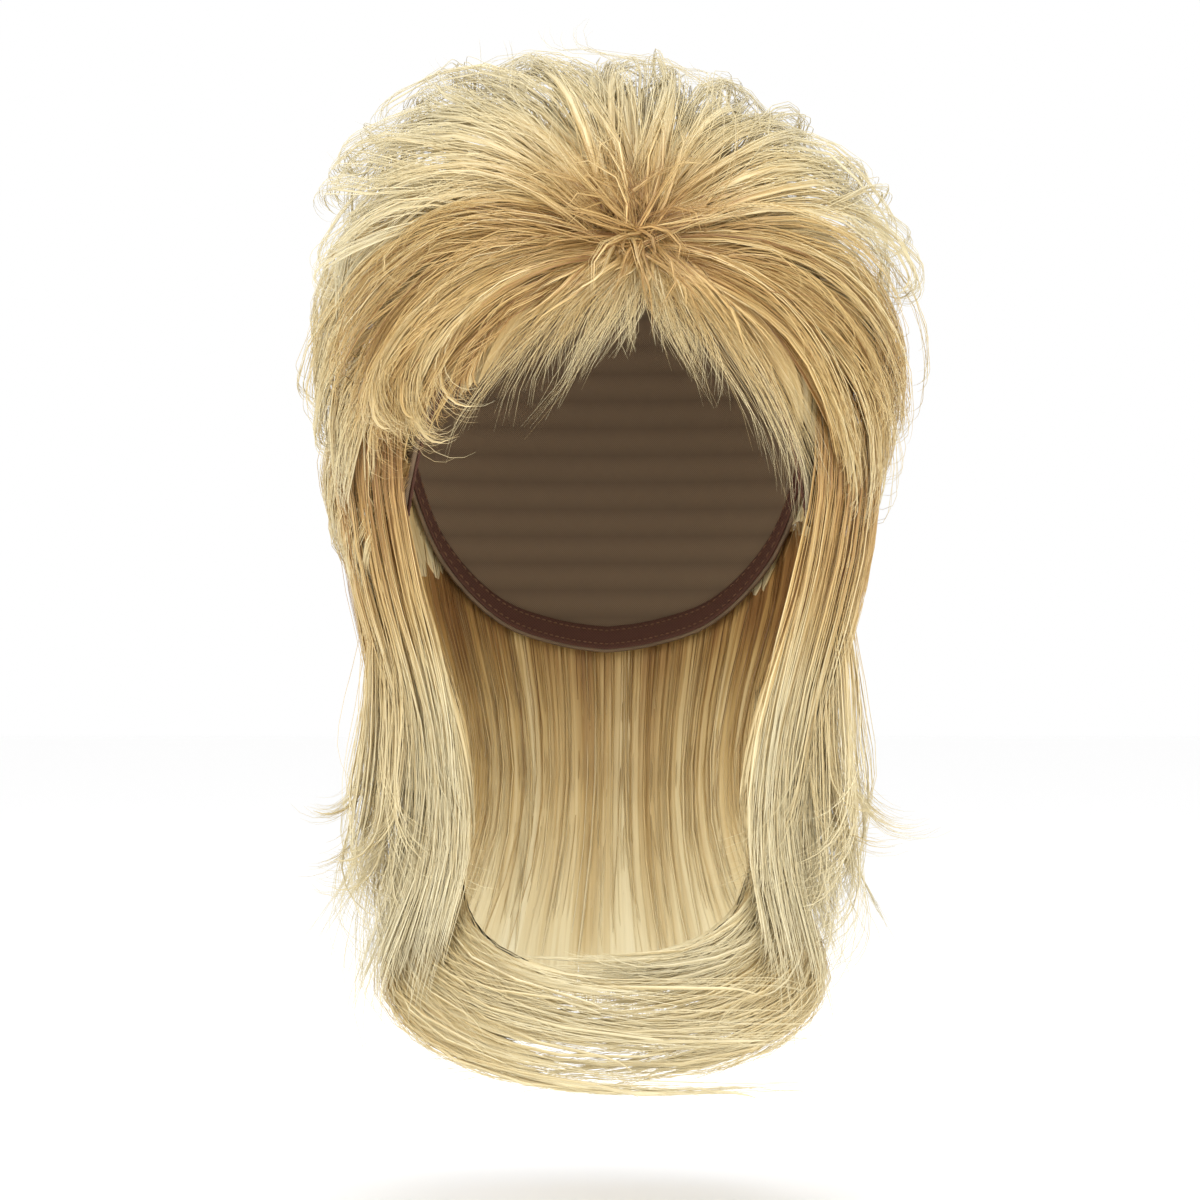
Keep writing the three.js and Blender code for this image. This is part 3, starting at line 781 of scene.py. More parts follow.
@dataclass(frozen=True)
class Filling:
    """The ribbed underlayer that fills a section under its strands, in shares of its sheet."""

    across: tuple[float, float] = (0.0, 1.0)
    along: tuple[float, float] = (0.05, 0.84)
    depth: float = 0.7
    ribs: int = 26
    groove: float = 0.2
    ragged: float = 0.14
    columns: int = 90
    rows: int = 16
    shade: tuple[float, float] = (0.0, 1.0)

    def dress(self, parts: MeshParts, sheet: Sheet, rng: np.random.Generator, slot: int) -> None:
        """Add the underlayer as one closed slab.

        Its outside is at depth * edge(p) * taper(t) * (1 - (1 - along)^3) - groove * (1 - rib), where
        rib is |sin|^0.6 over uneven ribs. Its inside is grooved by the same ribs, and each rib starts
        and ends at its own share of the way along.

        Args:
            parts: The mesh's arrays.
            sheet: The sheet it fills.
            rng: The seeded source of variety.
            slot: The finish slot.
        """
        p = np.linspace(0, 1, self.columns)[:, None]
        t = np.linspace(0, 1, self.rows)[None, :]
        warp = np.cumsum(0.5 + rng.random(self.columns))[:, None]
        warp = (warp - warp[0]) / (warp[-1] - warp[0])
        rib = np.abs(np.sin(np.pi * self.ribs * warp)) ** 0.6
        hem = column(rng.random(self.ribs), p)
        length = 1 - self.ragged * (1 - rib) - self.ragged * hem
        first = self.along[0] + 0.5 * self.ragged * rng.random((self.columns, 1))
        along = first + (self.along[0] + (self.along[1] - self.along[0]) * length - first) * t
        across = self.across[0] + (self.across[1] - self.across[0]) * p + 0 * t
        edge = smooth(8 * np.minimum(p, 1 - p) + 0.15)
        taper = 1 - t**4
        top = self.depth * edge * taper * (1 - (1 - along) ** 3)
        top = top - self.groove * (1 - rib) * smooth(2 * t) * taper
        outer = sheet.place(across, along, np.maximum(top, 0.03))
        inner = sheet.place(across, along, 0.12 * (1 - rib) * smooth(2 * t) * taper)
        # Paler on the crown, and darker from brow to jaw, partly as painted shade.
        height = self.shade[0] + (self.shade[1] - self.shade[0]) * along + pale_crown_shaded_band(outer[..., 2])
        parts.add(*slab(outer, inner, *FILLING_TONES, height), slot)


def slab(outer: Array, inner: Array, low: float, high: float, height: Array) -> tuple[Array, Array, Array]:
    """A closed solid from two facing grids of points.

    Args:
        outer: The outside, columns by rows by 3.
        inner: The inside, of the same shape.
        low: Where its first column lies across the UV map.
        high: Where its last column lies.
        height: How far up the UV map each point lies, columns by rows.

    Returns:
        Points, faces of four corners and their UV pairs.
    """
    columns, rows = outer.shape[:2]
    size = columns * rows
    i, j = np.meshgrid(np.arange(columns - 1), np.arange(rows - 1), indexing="ij")
    first = (i * rows + j).ravel()
    top = np.stack([first, first + rows, first + rows + 1, first + 1], -1)
    under = top[:, ::-1] + size
    ring = np.concatenate([
        np.arange(rows),
        np.arange(1, columns) * rows + rows - 1,
        (columns - 1) * rows + np.arange(rows - 2, -1, -1),
        np.arange(columns - 2, 0, -1) * rows,
    ])
    after = np.roll(ring, -1)
    rim = np.stack([ring, after, after + size, ring + size], -1)
    faces = np.concatenate([top, under, rim])
    points = np.concatenate([outer.reshape(-1, 3), inner.reshape(-1, 3)])
    u = np.repeat(np.linspace(low, high, columns), rows)
    uv = np.stack([u, up_map(height).ravel()], -1)
    return points, faces, np.concatenate([uv, uv])[faces]


@dataclass(frozen=True)
class NodeTree:
    """A node tree that is being filled in, with short ways to add nodes and links."""

    tree: bpy.types.NodeTree

    def node(self, kind: str, **settings: object) -> bpy.types.Node:
        """Add a node and set its properties.

        Args:
            kind: Its type.
            **settings: Its properties by name.

        Returns:
            The node.
        """
        made = self.tree.nodes.new(kind)
        for name, value in settings.items():
            setattr(made, name, value)
        return made

    def link(self, source: bpy.types.NodeSocket, target: bpy.types.NodeSocket) -> None:
        """Join two sockets."""
        self.tree.links.new(source, target)

    def math(self, operation: str, first: object, second: object = 0.0) -> bpy.types.NodeSocket:
        """Add a maths node.

        Args:
            operation: Its operation.
            first: A socket or a number.
            second: A socket or a number.

        Returns:
            Its output.
        """
        made = self.node("ShaderNodeMath", operation=operation)
        for socket, value in zip(made.inputs, (first, second)):
            if isinstance(value, bpy.types.NodeSocket):
                self.link(value, socket)
            else:
                socket.default_value = value
        return made.outputs[0]

    def ramp(self, factor: bpy.types.NodeSocket, stops: Sequence[Stop]) -> bpy.types.NodeSocket:
        """Add a colour ramp.

        Args:
            factor: What drives it.
            stops: Places from 0 to 1 with their linear colours.

        Returns:
            Its colour.
        """
        made = self.node("ShaderNodeValToRGB")
        elements = made.color_ramp.elements
        while len(elements) < len(stops):
            elements.new(0.5)
        for element, (place, colour) in zip(elements, stops):
            element.position = place
            element.color = (*colour, 1.0)
        self.link(factor, made.inputs[0])
        return made.outputs[0]

    def blend(self, kind: str, factor: object, first: object, second: object) -> bpy.types.NodeSocket:
        """Add a colour mix.

        Args:
            kind: Its blend type.
            factor: A socket or a number.
            first: A socket or a linear colour.
            second: A socket or a linear colour.

        Returns:
            Its colour.
        """
        made = self.node("ShaderNodeMix", data_type="RGBA", blend_type=kind)
        for socket, value in zip((made.inputs[0], made.inputs[6], made.inputs[7]), (factor, first, second)):
            if isinstance(value, bpy.types.NodeSocket):
                self.link(value, socket)
            elif isinstance(value, tuple):
                socket.default_value = (*value, 1.0)
            else:
                socket.default_value = value
        return made.outputs[2]


def strand_tone() -> bpy.types.NodeTree:
    """The shared group for hair colour, read from the UV map only.

    A strand's place across the map picks its own shade, and places lower across it, where deeper locks lie,
    are darker and more golden as painted shade; the way along it runs the colour from golden brown roots
    to pale tips. Fine streaks across the map vary wide pieces too.

    Returns:
        A group that takes Depth, which darkens the colour as painted shade, and gives Colour and Streak.
    """
    found = bpy.data.node_groups.get("StrandTone")
    if found:
        return found
    group = bpy.data.node_groups.new("StrandTone", "ShaderNodeTree")
    group.interface.new_socket("Depth", in_out="INPUT", socket_type="NodeSocketFloat")
    group.interface.new_socket("Colour", in_out="OUTPUT", socket_type="NodeSocketColor")
    group.interface.new_socket("Streak", in_out="OUTPUT", socket_type="NodeSocketFloat")
    t = NodeTree(group)
    given, taken = t.node("NodeGroupInput"), t.node("NodeGroupOutput")
    place = t.node("ShaderNodeUVMap", uv_map="OFBake")
    split = t.node("ShaderNodeSeparateXYZ")
    t.link(place.outputs[0], split.inputs[0])
    u, v = split.outputs[0], split.outputs[1]
    chance = t.node("ShaderNodeTexWhiteNoise", noise_dimensions="1D")
    t.link(t.math("FLOOR", t.math("MULTIPLY", u, SHADES_ACROSS)), chance.inputs["W"])
    own = chance.outputs["Value"]
    broad = t.node("ShaderNodeTexNoise", noise_dimensions="1D")
    broad.inputs["Scale"].default_value = 1.0
    broad.inputs["Detail"].default_value = 0.0
    t.link(t.math("MULTIPLY", u, BROAD_SHADES), broad.inputs["W"])
    shared = t.math("MULTIPLY", t.math("SUBTRACT", broad.outputs["Fac"], 0.5), 1.3)
    shade = t.math("ADD", t.math("MULTIPLY", own, 0.4), t.math("ADD", 0.3, shared))
    stretch = t.node("ShaderNodeCombineXYZ")
    t.link(t.math("MULTIPLY", u, SHADES_ACROSS), stretch.inputs[0])
    t.link(t.math("MULTIPLY", v, STREAKS_ALONG), stretch.inputs[1])
    streaks = t.node("ShaderNodeTexNoise", noise_dimensions="2D")
    streaks.inputs["Scale"].default_value = 1.0
    streaks.inputs["Detail"].default_value = 1.0
    t.link(stretch.outputs[0], streaks.inputs["Vector"])
    streak = streaks.outputs["Fac"]
    way = t.math("ADD", v, t.math("MULTIPLY", t.math("SUBTRACT", shade, 0.5), 0.42))
    way = t.math("ADD", way, t.math("MULTIPLY", t.math("SUBTRACT", streak, 0.5), 0.25))
    # Lower across the map, where deeper locks lie, the colour is darker and more golden: painted shade.
    outer = t.math("SUBTRACT", t.math("MINIMUM", u, 0.47), 0.24)
    way = t.math("ADD", way, t.math("MULTIPLY", outer, 0.5))
    # Depth darkens the whole colour: painted shade for the underlayer.
    way = t.math("SUBTRACT", way, given.outputs["Depth"])
    colour = t.ramp(way, (
        (0.0, (0.33, 0.16, 0.045)),
        (0.15, (0.49, 0.285, 0.085)),
        (0.36, (0.66, 0.465, 0.185)),
        (0.58, (0.76, 0.61, 0.32)),
        (0.76, (0.77, 0.655, 0.385)),
        (1.0, (0.74, 0.655, 0.425)),
    ))
    light = t.math("ADD", 0.79, t.math("MULTIPLY", t.math("ADD", shade, streak), 0.21))
    colour = t.blend("MULTIPLY", 1.0, colour, light)
    t.link(colour, taken.inputs["Colour"])
    t.link(streak, taken.inputs["Streak"])
    return group


@dataclass(frozen=True)
class HairFinish:
    """The finish of strands, or of the underlayer beneath them, darkened by its depth as painted shade."""

    name: str
    depth: float = 0.0
    roughness: float = 0.32

    def material(self) -> bpy.types.Material:
        """A shiny fibre whose colour comes from the shared group, made once for each name.

        Returns:
            The material.
        """
        found = bpy.data.materials.get(self.name)
        if found:
            return found
        made = bpy.data.materials.new(self.name)
        made.use_nodes = True
        t = NodeTree(made.node_tree)
        shader = made.node_tree.nodes["Principled BSDF"]
        tone = t.node("ShaderNodeGroup", node_tree=strand_tone())
        tone.inputs["Depth"].default_value = self.depth
        t.link(tone.outputs["Colour"], shader.inputs["Base Color"])
        bump = t.node("ShaderNodeBump")
        bump.inputs["Strength"].default_value = 0.35
        bump.inputs["Distance"].default_value = 0.0003
        t.link(tone.outputs["Streak"], bump.inputs["Height"])
        t.link(bump.outputs[0], shader.inputs["Normal"])
        shader.inputs["Roughness"].default_value = self.roughness
        shader.inputs["Specular IOR Level"].default_value = 0.6
        return made


@dataclass(frozen=True)
class ClothFinish:
    """A plain woven finish for the cap, the tape and its thread."""

    name: str
    colour: tuple[float, float, float]
    second: tuple[float, float, float]
    threads: float = 1400.0
    rows: float = 0.0
    roughness: float = 0.85

    def material(self) -> bpy.types.Material:
        """Crossed threads as colour and fine bump, in level rows if it has any, in the object's place.

        Returns:
            The material.
        """
        found = bpy.data.materials.get(self.name)
        if found:
            return found
        made = bpy.data.materials.new(self.name)
        made.use_nodes = True
        t = NodeTree(made.node_tree)
        shader = made.node_tree.nodes["Principled BSDF"]
        weave = t.node("ShaderNodeGroup", node_tree=weave_group())
        weave.inputs["Threads"].default_value = self.threads
        weave.inputs["Rows"].default_value = self.rows
        colour = t.blend("MIX", weave.outputs["Height"], self.colour, self.second)
        t.link(t.blend("MULTIPLY", 1.0, colour, weave.outputs["Band"]), shader.inputs["Base Color"])
        bump = t.node("ShaderNodeBump")
        bump.inputs["Strength"].default_value = 0.4
        bump.inputs["Distance"].default_value = 0.0003
        t.link(weave.outputs["Height"], bump.inputs["Height"])
        t.link(bump.outputs[0], shader.inputs["Normal"])
        shader.inputs["Roughness"].default_value = self.roughness
        return made


def weave_group() -> bpy.types.NodeTree:
    """The shared group for woven thread: the product of sines along x and z, from 0 to 1.

    Rows of sewing are level bands, 0.78 + 0.22 * |cos| along z.

    Returns:
        A group that takes Threads and Rows to a metre, and gives Height and Band.
    """
    found = bpy.data.node_groups.get("Weave")
    if found:
        return found
    group = bpy.data.node_groups.new("Weave", "ShaderNodeTree")
    group.interface.new_socket("Threads", in_out="INPUT", socket_type="NodeSocketFloat")
    group.interface.new_socket("Rows", in_out="INPUT", socket_type="NodeSocketFloat")
    group.interface.new_socket("Height", in_out="OUTPUT", socket_type="NodeSocketFloat")
    group.interface.new_socket("Band", in_out="OUTPUT", socket_type="NodeSocketFloat")
    t = NodeTree(group)
    given, taken = t.node("NodeGroupInput"), t.node("NodeGroupOutput")
    place = t.node("ShaderNodeTexCoord")
    split = t.node("ShaderNodeSeparateXYZ")
    t.link(place.outputs["Object"], split.inputs[0])
    turn = t.math("MULTIPLY", given.outputs["Threads"], 2 * np.pi)
    waves = [t.math("SINE", t.math("MULTIPLY", split.outputs[axis], turn)) for axis in (0, 2)]
    t.link(t.math("ADD", 0.5, t.math("MULTIPLY", t.math("MULTIPLY", *waves), 0.5)), taken.inputs["Height"])
    step = t.math("MULTIPLY", split.outputs[2], t.math("MULTIPLY", given.outputs["Rows"], np.pi))
    band = t.math("ABSOLUTE", t.math("COSINE", step))
    t.link(t.math("ADD", 0.78, t.math("MULTIPLY", band, 0.22)), taken.inputs["Band"])
    return group


@dataclass(frozen=True)
class HairPiece:
    """One section of hair: how its sheets are filled and how its strands grow."""

    node: str
    growths: Sequence[Growth]
    fillings: Sequence[tuple[Sheet, Filling]]
    seed: int
    top: HairFinish = HairFinish("blonde_fibre")
    # The underlayer is darker and more golden than the strands: painted shade between them.
    under: HairFinish = HairFinish("shaded_fibre", depth=0.14, roughness=0.6)

    def build(self) -> bpy.types.Object:
        """Grow the strands over the underlayer, in one mesh with two finishes.

        Returns:
            The piece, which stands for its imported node.
        """
        parts = MeshParts()
        for sheet, filling in self.fillings:
            filling.dress(parts, sheet, np.random.default_rng(self.seed), 1)
        for number, growth in enumerate(self.growths):
            growth.dress(parts, self.seed + 100 * number, 0)
        piece = parts.build(f"{self.node}_hair")
        piece.data.materials.append(self.top.material())
        piece.data.materials.append(self.under.material())
        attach(piece, "root")
        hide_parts(self.node)
        count = sum(len(p.vertices) - 2 for p in piece.data.polygons)
        LOG.info("%s: %d triangles", piece.name, count)
        return piece


CAP_RIM = table(
    "around above",
    (0, 36), (18, 36), (36, 30), (54, 14), (72, -9), (90, 2),
    (108, 2), (126, -16), (144, -28), (162, -33), (180, -35),
)


@dataclass(frozen=True)
class Cap:
    """The thin cap: a dome from the crown to its rim, with rows of sewn weft inside it."""

    wall: float = 1.6
    weft_rows: int = 17
    weft_reach: float = 1.6
    relief: float = 0.5
    columns: int = 72
    rows: int = 58
    finish: ClothFinish = ClothFinish("cap_weave", (0.14, 0.09, 0.05), (0.27, 0.185, 0.105), rows=98.4)

    @staticmethod
    def rim(around: Array) -> Array:
        """Degrees of the rim above the ears' level, at degrees round from straight ahead."""
        share = np.abs((around + 180.0) % 360.0 - 180.0) / 180.0
        return column(np.array(CAP_RIM["above"], dtype=float), share)

    def build(self) -> bpy.types.Object:
        """Make the dome as a grid round the head, closed at the crown and along the rim.

        The inside is at relief * (1 - |sin|) over the weft rows, which reach weft_reach dome heights
        down, and the outside is at the wall.

        Returns:
            The piece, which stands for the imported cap.
        """
        around = np.linspace(0, 360, self.columns, endpoint=False)[:, None]
        fall = np.linspace(0.004, 1, self.rows)[None, :]
        above = 90 + (self.rim(around) - 90) * fall
        direction = HEAD.compass(around + 0 * above, above)
        level = np.sin(np.radians(above))
        row = 1 - np.abs(np.sin(np.pi * self.weft_rows * (1 - level) / self.weft_reach))
        fade = smooth(12 * (1 - fall)) * smooth(12 * fall)
        inner = HEAD.surface(direction, self.relief * row * fade)
        outer = HEAD.surface(direction, self.wall + 0 * above)
        size = self.columns * self.rows
        i, j = np.meshgrid(np.arange(self.columns), np.arange(self.rows - 1), indexing="ij")
        first, second = (i * self.rows + j).ravel(), ((i + 1) % self.columns * self.rows + j).ravel()
        out = np.stack([first, first + 1, second + 1, second], -1)
        edge = np.arange(self.columns) * self.rows + self.rows - 1
        after = np.roll(edge, -1)
        lip = np.stack([edge, edge + size, after + size, after], -1)
        sides = np.concatenate([out, out[:, ::-1] + size, lip])
        crown = np.arange(self.columns) * self.rows
        points = np.concatenate([outer.reshape(-1, 3), inner.reshape(-1, 3)])
        half = grid_uv(self.columns, self.rows) * [1.0, 0.5]
        uv = np.concatenate([half, half + [0.0, 0.5]])
        parts = MeshParts()
        parts.add(points, sides, uv[sides], 0)
        parts.add(np.empty((0, 3)), crown[None, :], uv[crown][None], 0)
        parts.add(np.empty((0, 3)), crown[None, ::-1] + size, uv[crown + size][None], 0)
        piece = parts.build("cap_net")
        piece.data.materials.append(self.finish.material())
        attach(piece, "root")
        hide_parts("cap")
        LOG.info("%s: %d faces", piece.name, len(piece.data.polygons))
        return piece


@dataclass(frozen=True)
class EdgeTape:
    """The tape inside the cap's rim, with the two rows of stitches that hold it."""

    width: float = 9.0
    thick: float = 1.2
    gap: float = 0.4
    stitches: int = 190
    tape: ClothFinish = ClothFinish("tape_weave", (0.065, 0.022, 0.012), (0.11, 0.042, 0.022), threads=900.0)
    thread: ClothFinish = ClothFinish(
        "sewing_thread", (0.16, 0.075, 0.035), (0.22, 0.11, 0.055), threads=2500.0
    )

    def build(self, cap: Cap) -> bpy.types.Object:
        """Carry a rounded flat profile round the rim, and sew stitches along its inner face.

        The profile is |cos|^0.3 wide by |sin|^0.5 thick, signed, so that its corners are round.

        Args:
            cap: The cap whose rim it follows.

        Returns:
            The piece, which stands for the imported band.
        """
        around = np.linspace(0, 360, 180, endpoint=False)[:, None]
        corner = np.linspace(0, 2 * np.pi, 14, endpoint=False)[None, :]
        wide = np.sign(np.cos(corner)) * np.abs(np.cos(corner)) ** 0.3
        deep = np.sign(np.sin(corner)) * np.abs(np.sin(corner)) ** 0.5
        per_mm = np.degrees(1 / HEAD.half_length)
        above = cap.rim(around) + (0.5 + 0.5 * wide) * self.width * per_mm
        lift = -self.gap - self.thick / 2 + deep * self.thick / 2
        points = HEAD.surface(HEAD.compass(around + 0 * above, above), lift + 0 * above)
        rounds, corners = points.shape[:2]
        i, j = np.meshgrid(np.arange(rounds), np.arange(corners), indexing="ij")
        here, there = i * corners, (i + 1) % rounds * corners
        after = (j + 1) % corners
        faces = np.stack([g.ravel() for g in (here + j, there + j, there + after, here + after)], -1)
        flat = grid_uv(rounds, corners)
        parts = MeshParts()
        parts.add(points, faces, flat[faces], 0)
        at = np.linspace(0, 360, self.stitches, endpoint=False)[:, None]
        run = np.linspace(-0.34, 0.34, 4)[None, :] * 360 / self.stitches
        bow = 1 - np.linspace(-1, 1, 4)[None, :] ** 2
        height = np.tile(np.linspace(0, 1, 4), (self.stitches, 1))
        for up in (0.2, 0.8):
            level = cap.rim(at + run) + up * self.width * per_mm
            lifts = -self.gap - self.thick + 0.1 - 0.4 * bow + 0 * run
            path = HEAD.surface(HEAD.compass(at + run, level), lifts)
            side = unit(HEAD.compass(at[:, 0], level[:, 2] + 90))
            size = 0.15 + 0.2 * bow + 0 * level
            STRAND.add(parts, path, side, size, size, np.linspace(0.1, 0.9, self.stitches), height, slot=1)
        piece = parts.build("edge_tape")
        piece.data.materials.append(self.tape.material())
        piece.data.materials.append(self.thread.material())
        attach(piece, "root")
        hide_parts("edge_band")
        LOG.info("%s: %d faces", piece.name, len(piece.data.polygons))
        return piece


@dataclass(frozen=True)
class Studio:
    """A plain pale floor, soft lights and the photograph's camera."""

    floor_level: float = -0.37
    lens: float = 169.0
    camera_place: tuple[float, float, float] = (-0.0025, -2.03, -0.151)
    lit_place: tuple[float, float, float] = (0.0, 0.0, -0.13)

    def build(self) -> None:
        """Lay the floor, hang the lights and set the camera."""
        bpy.ops.mesh.primitive_plane_add(size=14.0, location=(0.0, 0.0, self.floor_level))
        floor = bpy.context.object
        floor.name = "studio_floor"
        plain = bpy.data.materials.new("studio_white")
        plain.use_nodes = True
        shader = plain.node_tree.nodes["Principled BSDF"]
        shader.inputs["Base Color"].default_value = (0.98, 0.98, 0.98, 1.0)
        shader.inputs["Roughness"].default_value = 0.9
        floor.data.materials.append(plain)
        self.light("key", (-0.7, -1.4, 0.3), 1.0, 8.0)
        self.light("fill", (0.9, -1.4, -0.2), 1.2, 9.0)
        self.light("top", (0.1, -0.35, 1.5), 1.0, 15.0)
        scene = bpy.context.scene
        world = bpy.data.worlds.new("studio")
        world.use_nodes = True
        world.node_tree.nodes["Background"].inputs["Color"].default_value = (1.0, 1.0, 1.0, 1.0)
        world.node_tree.nodes["Background"].inputs["Strength"].default_value = 1.0
        scene.world = world
        scene.view_settings.view_transform = "Standard"
        camera = bpy.data.cameras.new("photo")
        camera.lens = self.lens
        camera.clip_end = 50.0
        held = bpy.data.objects.new("photo", camera)
        held.location = self.camera_place
        held.rotation_euler = (np.pi / 2, 0.0, 0.0)
        scene.collection.objects.link(held)
        scene.camera = held

    def light(self, name: str, place: tuple[float, float, float], size: float, power: float) -> None:
        """Hang a square soft light that faces the wig.

        Args:
            name: Its name.
            place: Where it hangs, in metres.
            size: The side of its square.
            power: Watts.
        """
        lamp = bpy.data.lights.new(name, "AREA")
        lamp.size = size
        lamp.energy = power
        held = bpy.data.objects.new(name, lamp)
        held.location = place
        towards = Vector(self.lit_place) - held.location
        held.rotation_euler = towards.to_track_quat("-Z", "Y").to_euler()
        bpy.context.scene.collection.objects.link(held)


# Fine ends that stand off the layers and turn over.
WISPS = Strands(
    46, 9, starts=(0.35, 0.55), ends=(0.84, 1.0), depths=(0.9, 1.02), spread=0.02, thickness=0.03,
    core=0.8, half_width=0.18, half_thick=0.13, body_rings=7, curl_rings=7, curl=(120.0, 240.0),
    radius=(5.0, 12.0), lean=(150.0, 215.0), wave=3.5, sway=0.05, loft=6.0, gather=0.45,
    feather=0.03,
)
# The hair of the lengths, which the tails and the back take up with changes.
LONG = Strands(
    20, 14, starts=(0.0, 0.3), ends=(0.84, 1.0), rise=1.6, body_rings=8, curl=(5.0, 35.0),
    spread=0.12, radius=(30.0, 60.0), shade=(0.1, 1.0), wave=2.0, core=1.5, scatter=1.0,
    turns=(0.7, 1.0), phase=(0.0, 1.6), curl_rings=3, gather=0.35, depths=(0.5, 1.0),
)
# Strands along the inside of a length, where it shows.
LINED = replace(
    LONG, locks=11, each=8, depths=(-0.08, 0.02), rise=6.0, starts=(0.0, 0.2), ends=(0.7, 1.0),
    core=0.0, wave=1.0, curl_rings=0, spread=0.14, thickness=0.02, shade=(0.1, 0.8),
)


@dataclass
class Haircut:
    """The sections of hair with their fillings and growths, from the top down."""

    made: list[HairPiece] = field(default_factory=list)
    first_seed: int = 11

    def cut(self) -> Sequence[HairPiece]:
        """Cut every section.

        Returns:
            The sections, in the order that they are dressed.
        """
        self.top()
        self.fringe()
        self.layers()
        self.tails()
        self.chest()
        self.back()
        return self.made

    def section(self, node: str, styles: Sequence[Strands], fillings: Sequence[Filling] = (Filling(),),
                extra: Sequence[Growth] = ()) -> None:
        """Add one section, whose growths and fillings follow its own sheet.

        Args:
            node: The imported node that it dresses.
            styles: How its strands grow.
            fillings: The underlayers that fill it.
            extra: Growths that follow other sheets.
        """
        sheet = sheet_of(node)
        growths = [Growth(sheet, style) for style in styles]
        filled = [(sheet, f) for f in fillings]
        self.made.append(HairPiece(node, [*growths, *extra], filled, self.first_seed + len(self.made)))

    def top(self) -> None:
        """The front of the crown over the swirl's crossing roots, and the big side sweeps."""
        roots = Strands(
            56, 6, starts=(0.0, 0.25), ends=(0.6, 1.1), depths=(0.5, 1.1), core=0.7, scatter=6.0,
            curl_rings=0, rise=1.5, shade=(0.0, 0.3), body_rings=6, half_width=0.14, half_thick=0.11,
            spread=0.02, wave=1.5, sway=0.08,
        )
        crown = Strands(
            78, 10, starts=(0.0, 0.3), ends=(0.74, 1.28), depths=(0.76, 1.0), body_rings=9,
            curl=(10.0, 100.0), radius=(8.0, 16.0), lean=(120.0, 240.0), core=1.7, sway=0.045, wave=1.8,
            scatter=5.0,
        )
        stray = Strands(
            20, 5, starts=(0.0, 0.4), ends=(0.5, 1.0), depths=(0.98, 1.04), core=0.0, wave=2.5, body_rings=9,
            sway=0.16, half_width=0.13, half_thick=0.1, curl=(20.0, 120.0), scatter=8.0, spread=0.07,
        )
        whorl = [Growth(sheet_of("whorl"), roots)]
        self.section("crown_front", [crown, WISPS, stray], [Filling(ribs=40, columns=120)], whorl)
        # The sweeps' strands stop short of the pale end of the colour ramp, partly golden tone and partly
        # painted shade under the crown's bulge.
        under = Strands(
            46, 11, ends=(0.66, 0.86), body_rings=9, curl=(40.0, 170.0), radius=(6.0, 11.0),
            lean=(140.0, 220.0), depths=(0.66, 1.0), core=1.7, wave=1.8, sway=0.05, scatter=4.0,
            shade=(0.0, 0.68),
        )
        over = Strands(
            20, 8, starts=(0.0, 0.3), ends=(0.42, 0.84), depths=(0.96, 1.03), curl=(60.0, 170.0), core=0.0,
            wave=3.0, body_rings=9, curl_rings=5, radius=(6.0, 11.0), lean=(130.0, 230.0), sway=0.1,
            half_width=0.15, loft=3.0, shade=(0.0, 0.9),
        )
        bowl = Strands(
            9, 17, across=(0.2, 0.66), starts=(0.05, 0.3), ends=(0.6, 0.74), depths=(0.9, 1.06),
            curl=(85.0, 150.0), radius=(15.0, 25.0), lean=(-125.0, -85.0), body_rings=9, curl_rings=7,
            core=1.8, wave=1.2, shade=(0.0, 0.95), feather=0.02, gather=0.7,
        )
        near = Filling(across=(0.05, 1.0), along=(0.05, 0.76))
        # The left sweep stops lower on the ramp than the right: painted shade on the left side.
        left = replace(under, across=(0.08, 1.0), shade=(0.0, 0.56))
        self.section("sweep_left", [left, replace(over, shade=(0.0, 0.75)), bowl], [near])
        right = replace(under, ends=(0.74, 0.98), curl=(10.0, 110.0), lean=(100.0, 220.0))
        self.section("sweep_right", [right, replace(over, ends=(0.42, 0.95))])

    def fringe(self) -> None:
        """The sheer fringe, with fuller hair near its roots and longer strands at the parting."""
        sheer = Strands(
            50, 6, across=(0.0, 0.88), starts=(0.0, 0.12), ends=(0.74, 1.14), depths=(0.3, 1.0), gather=0.25,
            core=0.0, half_width=0.12, half_thick=0.09, wave=2.2, body_rings=9, spread=0.08,
            shade=(0.1, 0.9), sway=0.1, curl_rings=0, drift=0.08, scatter=5.0,
        )
        inner = replace(sheer, locks=26, ends=(0.4, 0.7), core=1.2)
        centre = replace(sheer, locks=14, across=(0.0, 0.3), ends=(1.0, 1.3), drift=0.12)
        veiled = [Filling(along=(0.02, 0.42), depth=0.3, ribs=18, ragged=0.3)]
        self.section("fringe_left", [sheer, inner, centre], veiled)
        turned = {"across": (0.12, 1.0), "drift": -0.08}
        centre = replace(centre, across=(0.8, 1.0), ends=(0.9, 1.1), drift=-0.1)
        self.section("fringe_right", [replace(sheer, **turned), replace(inner, **turned), centre], veiled)

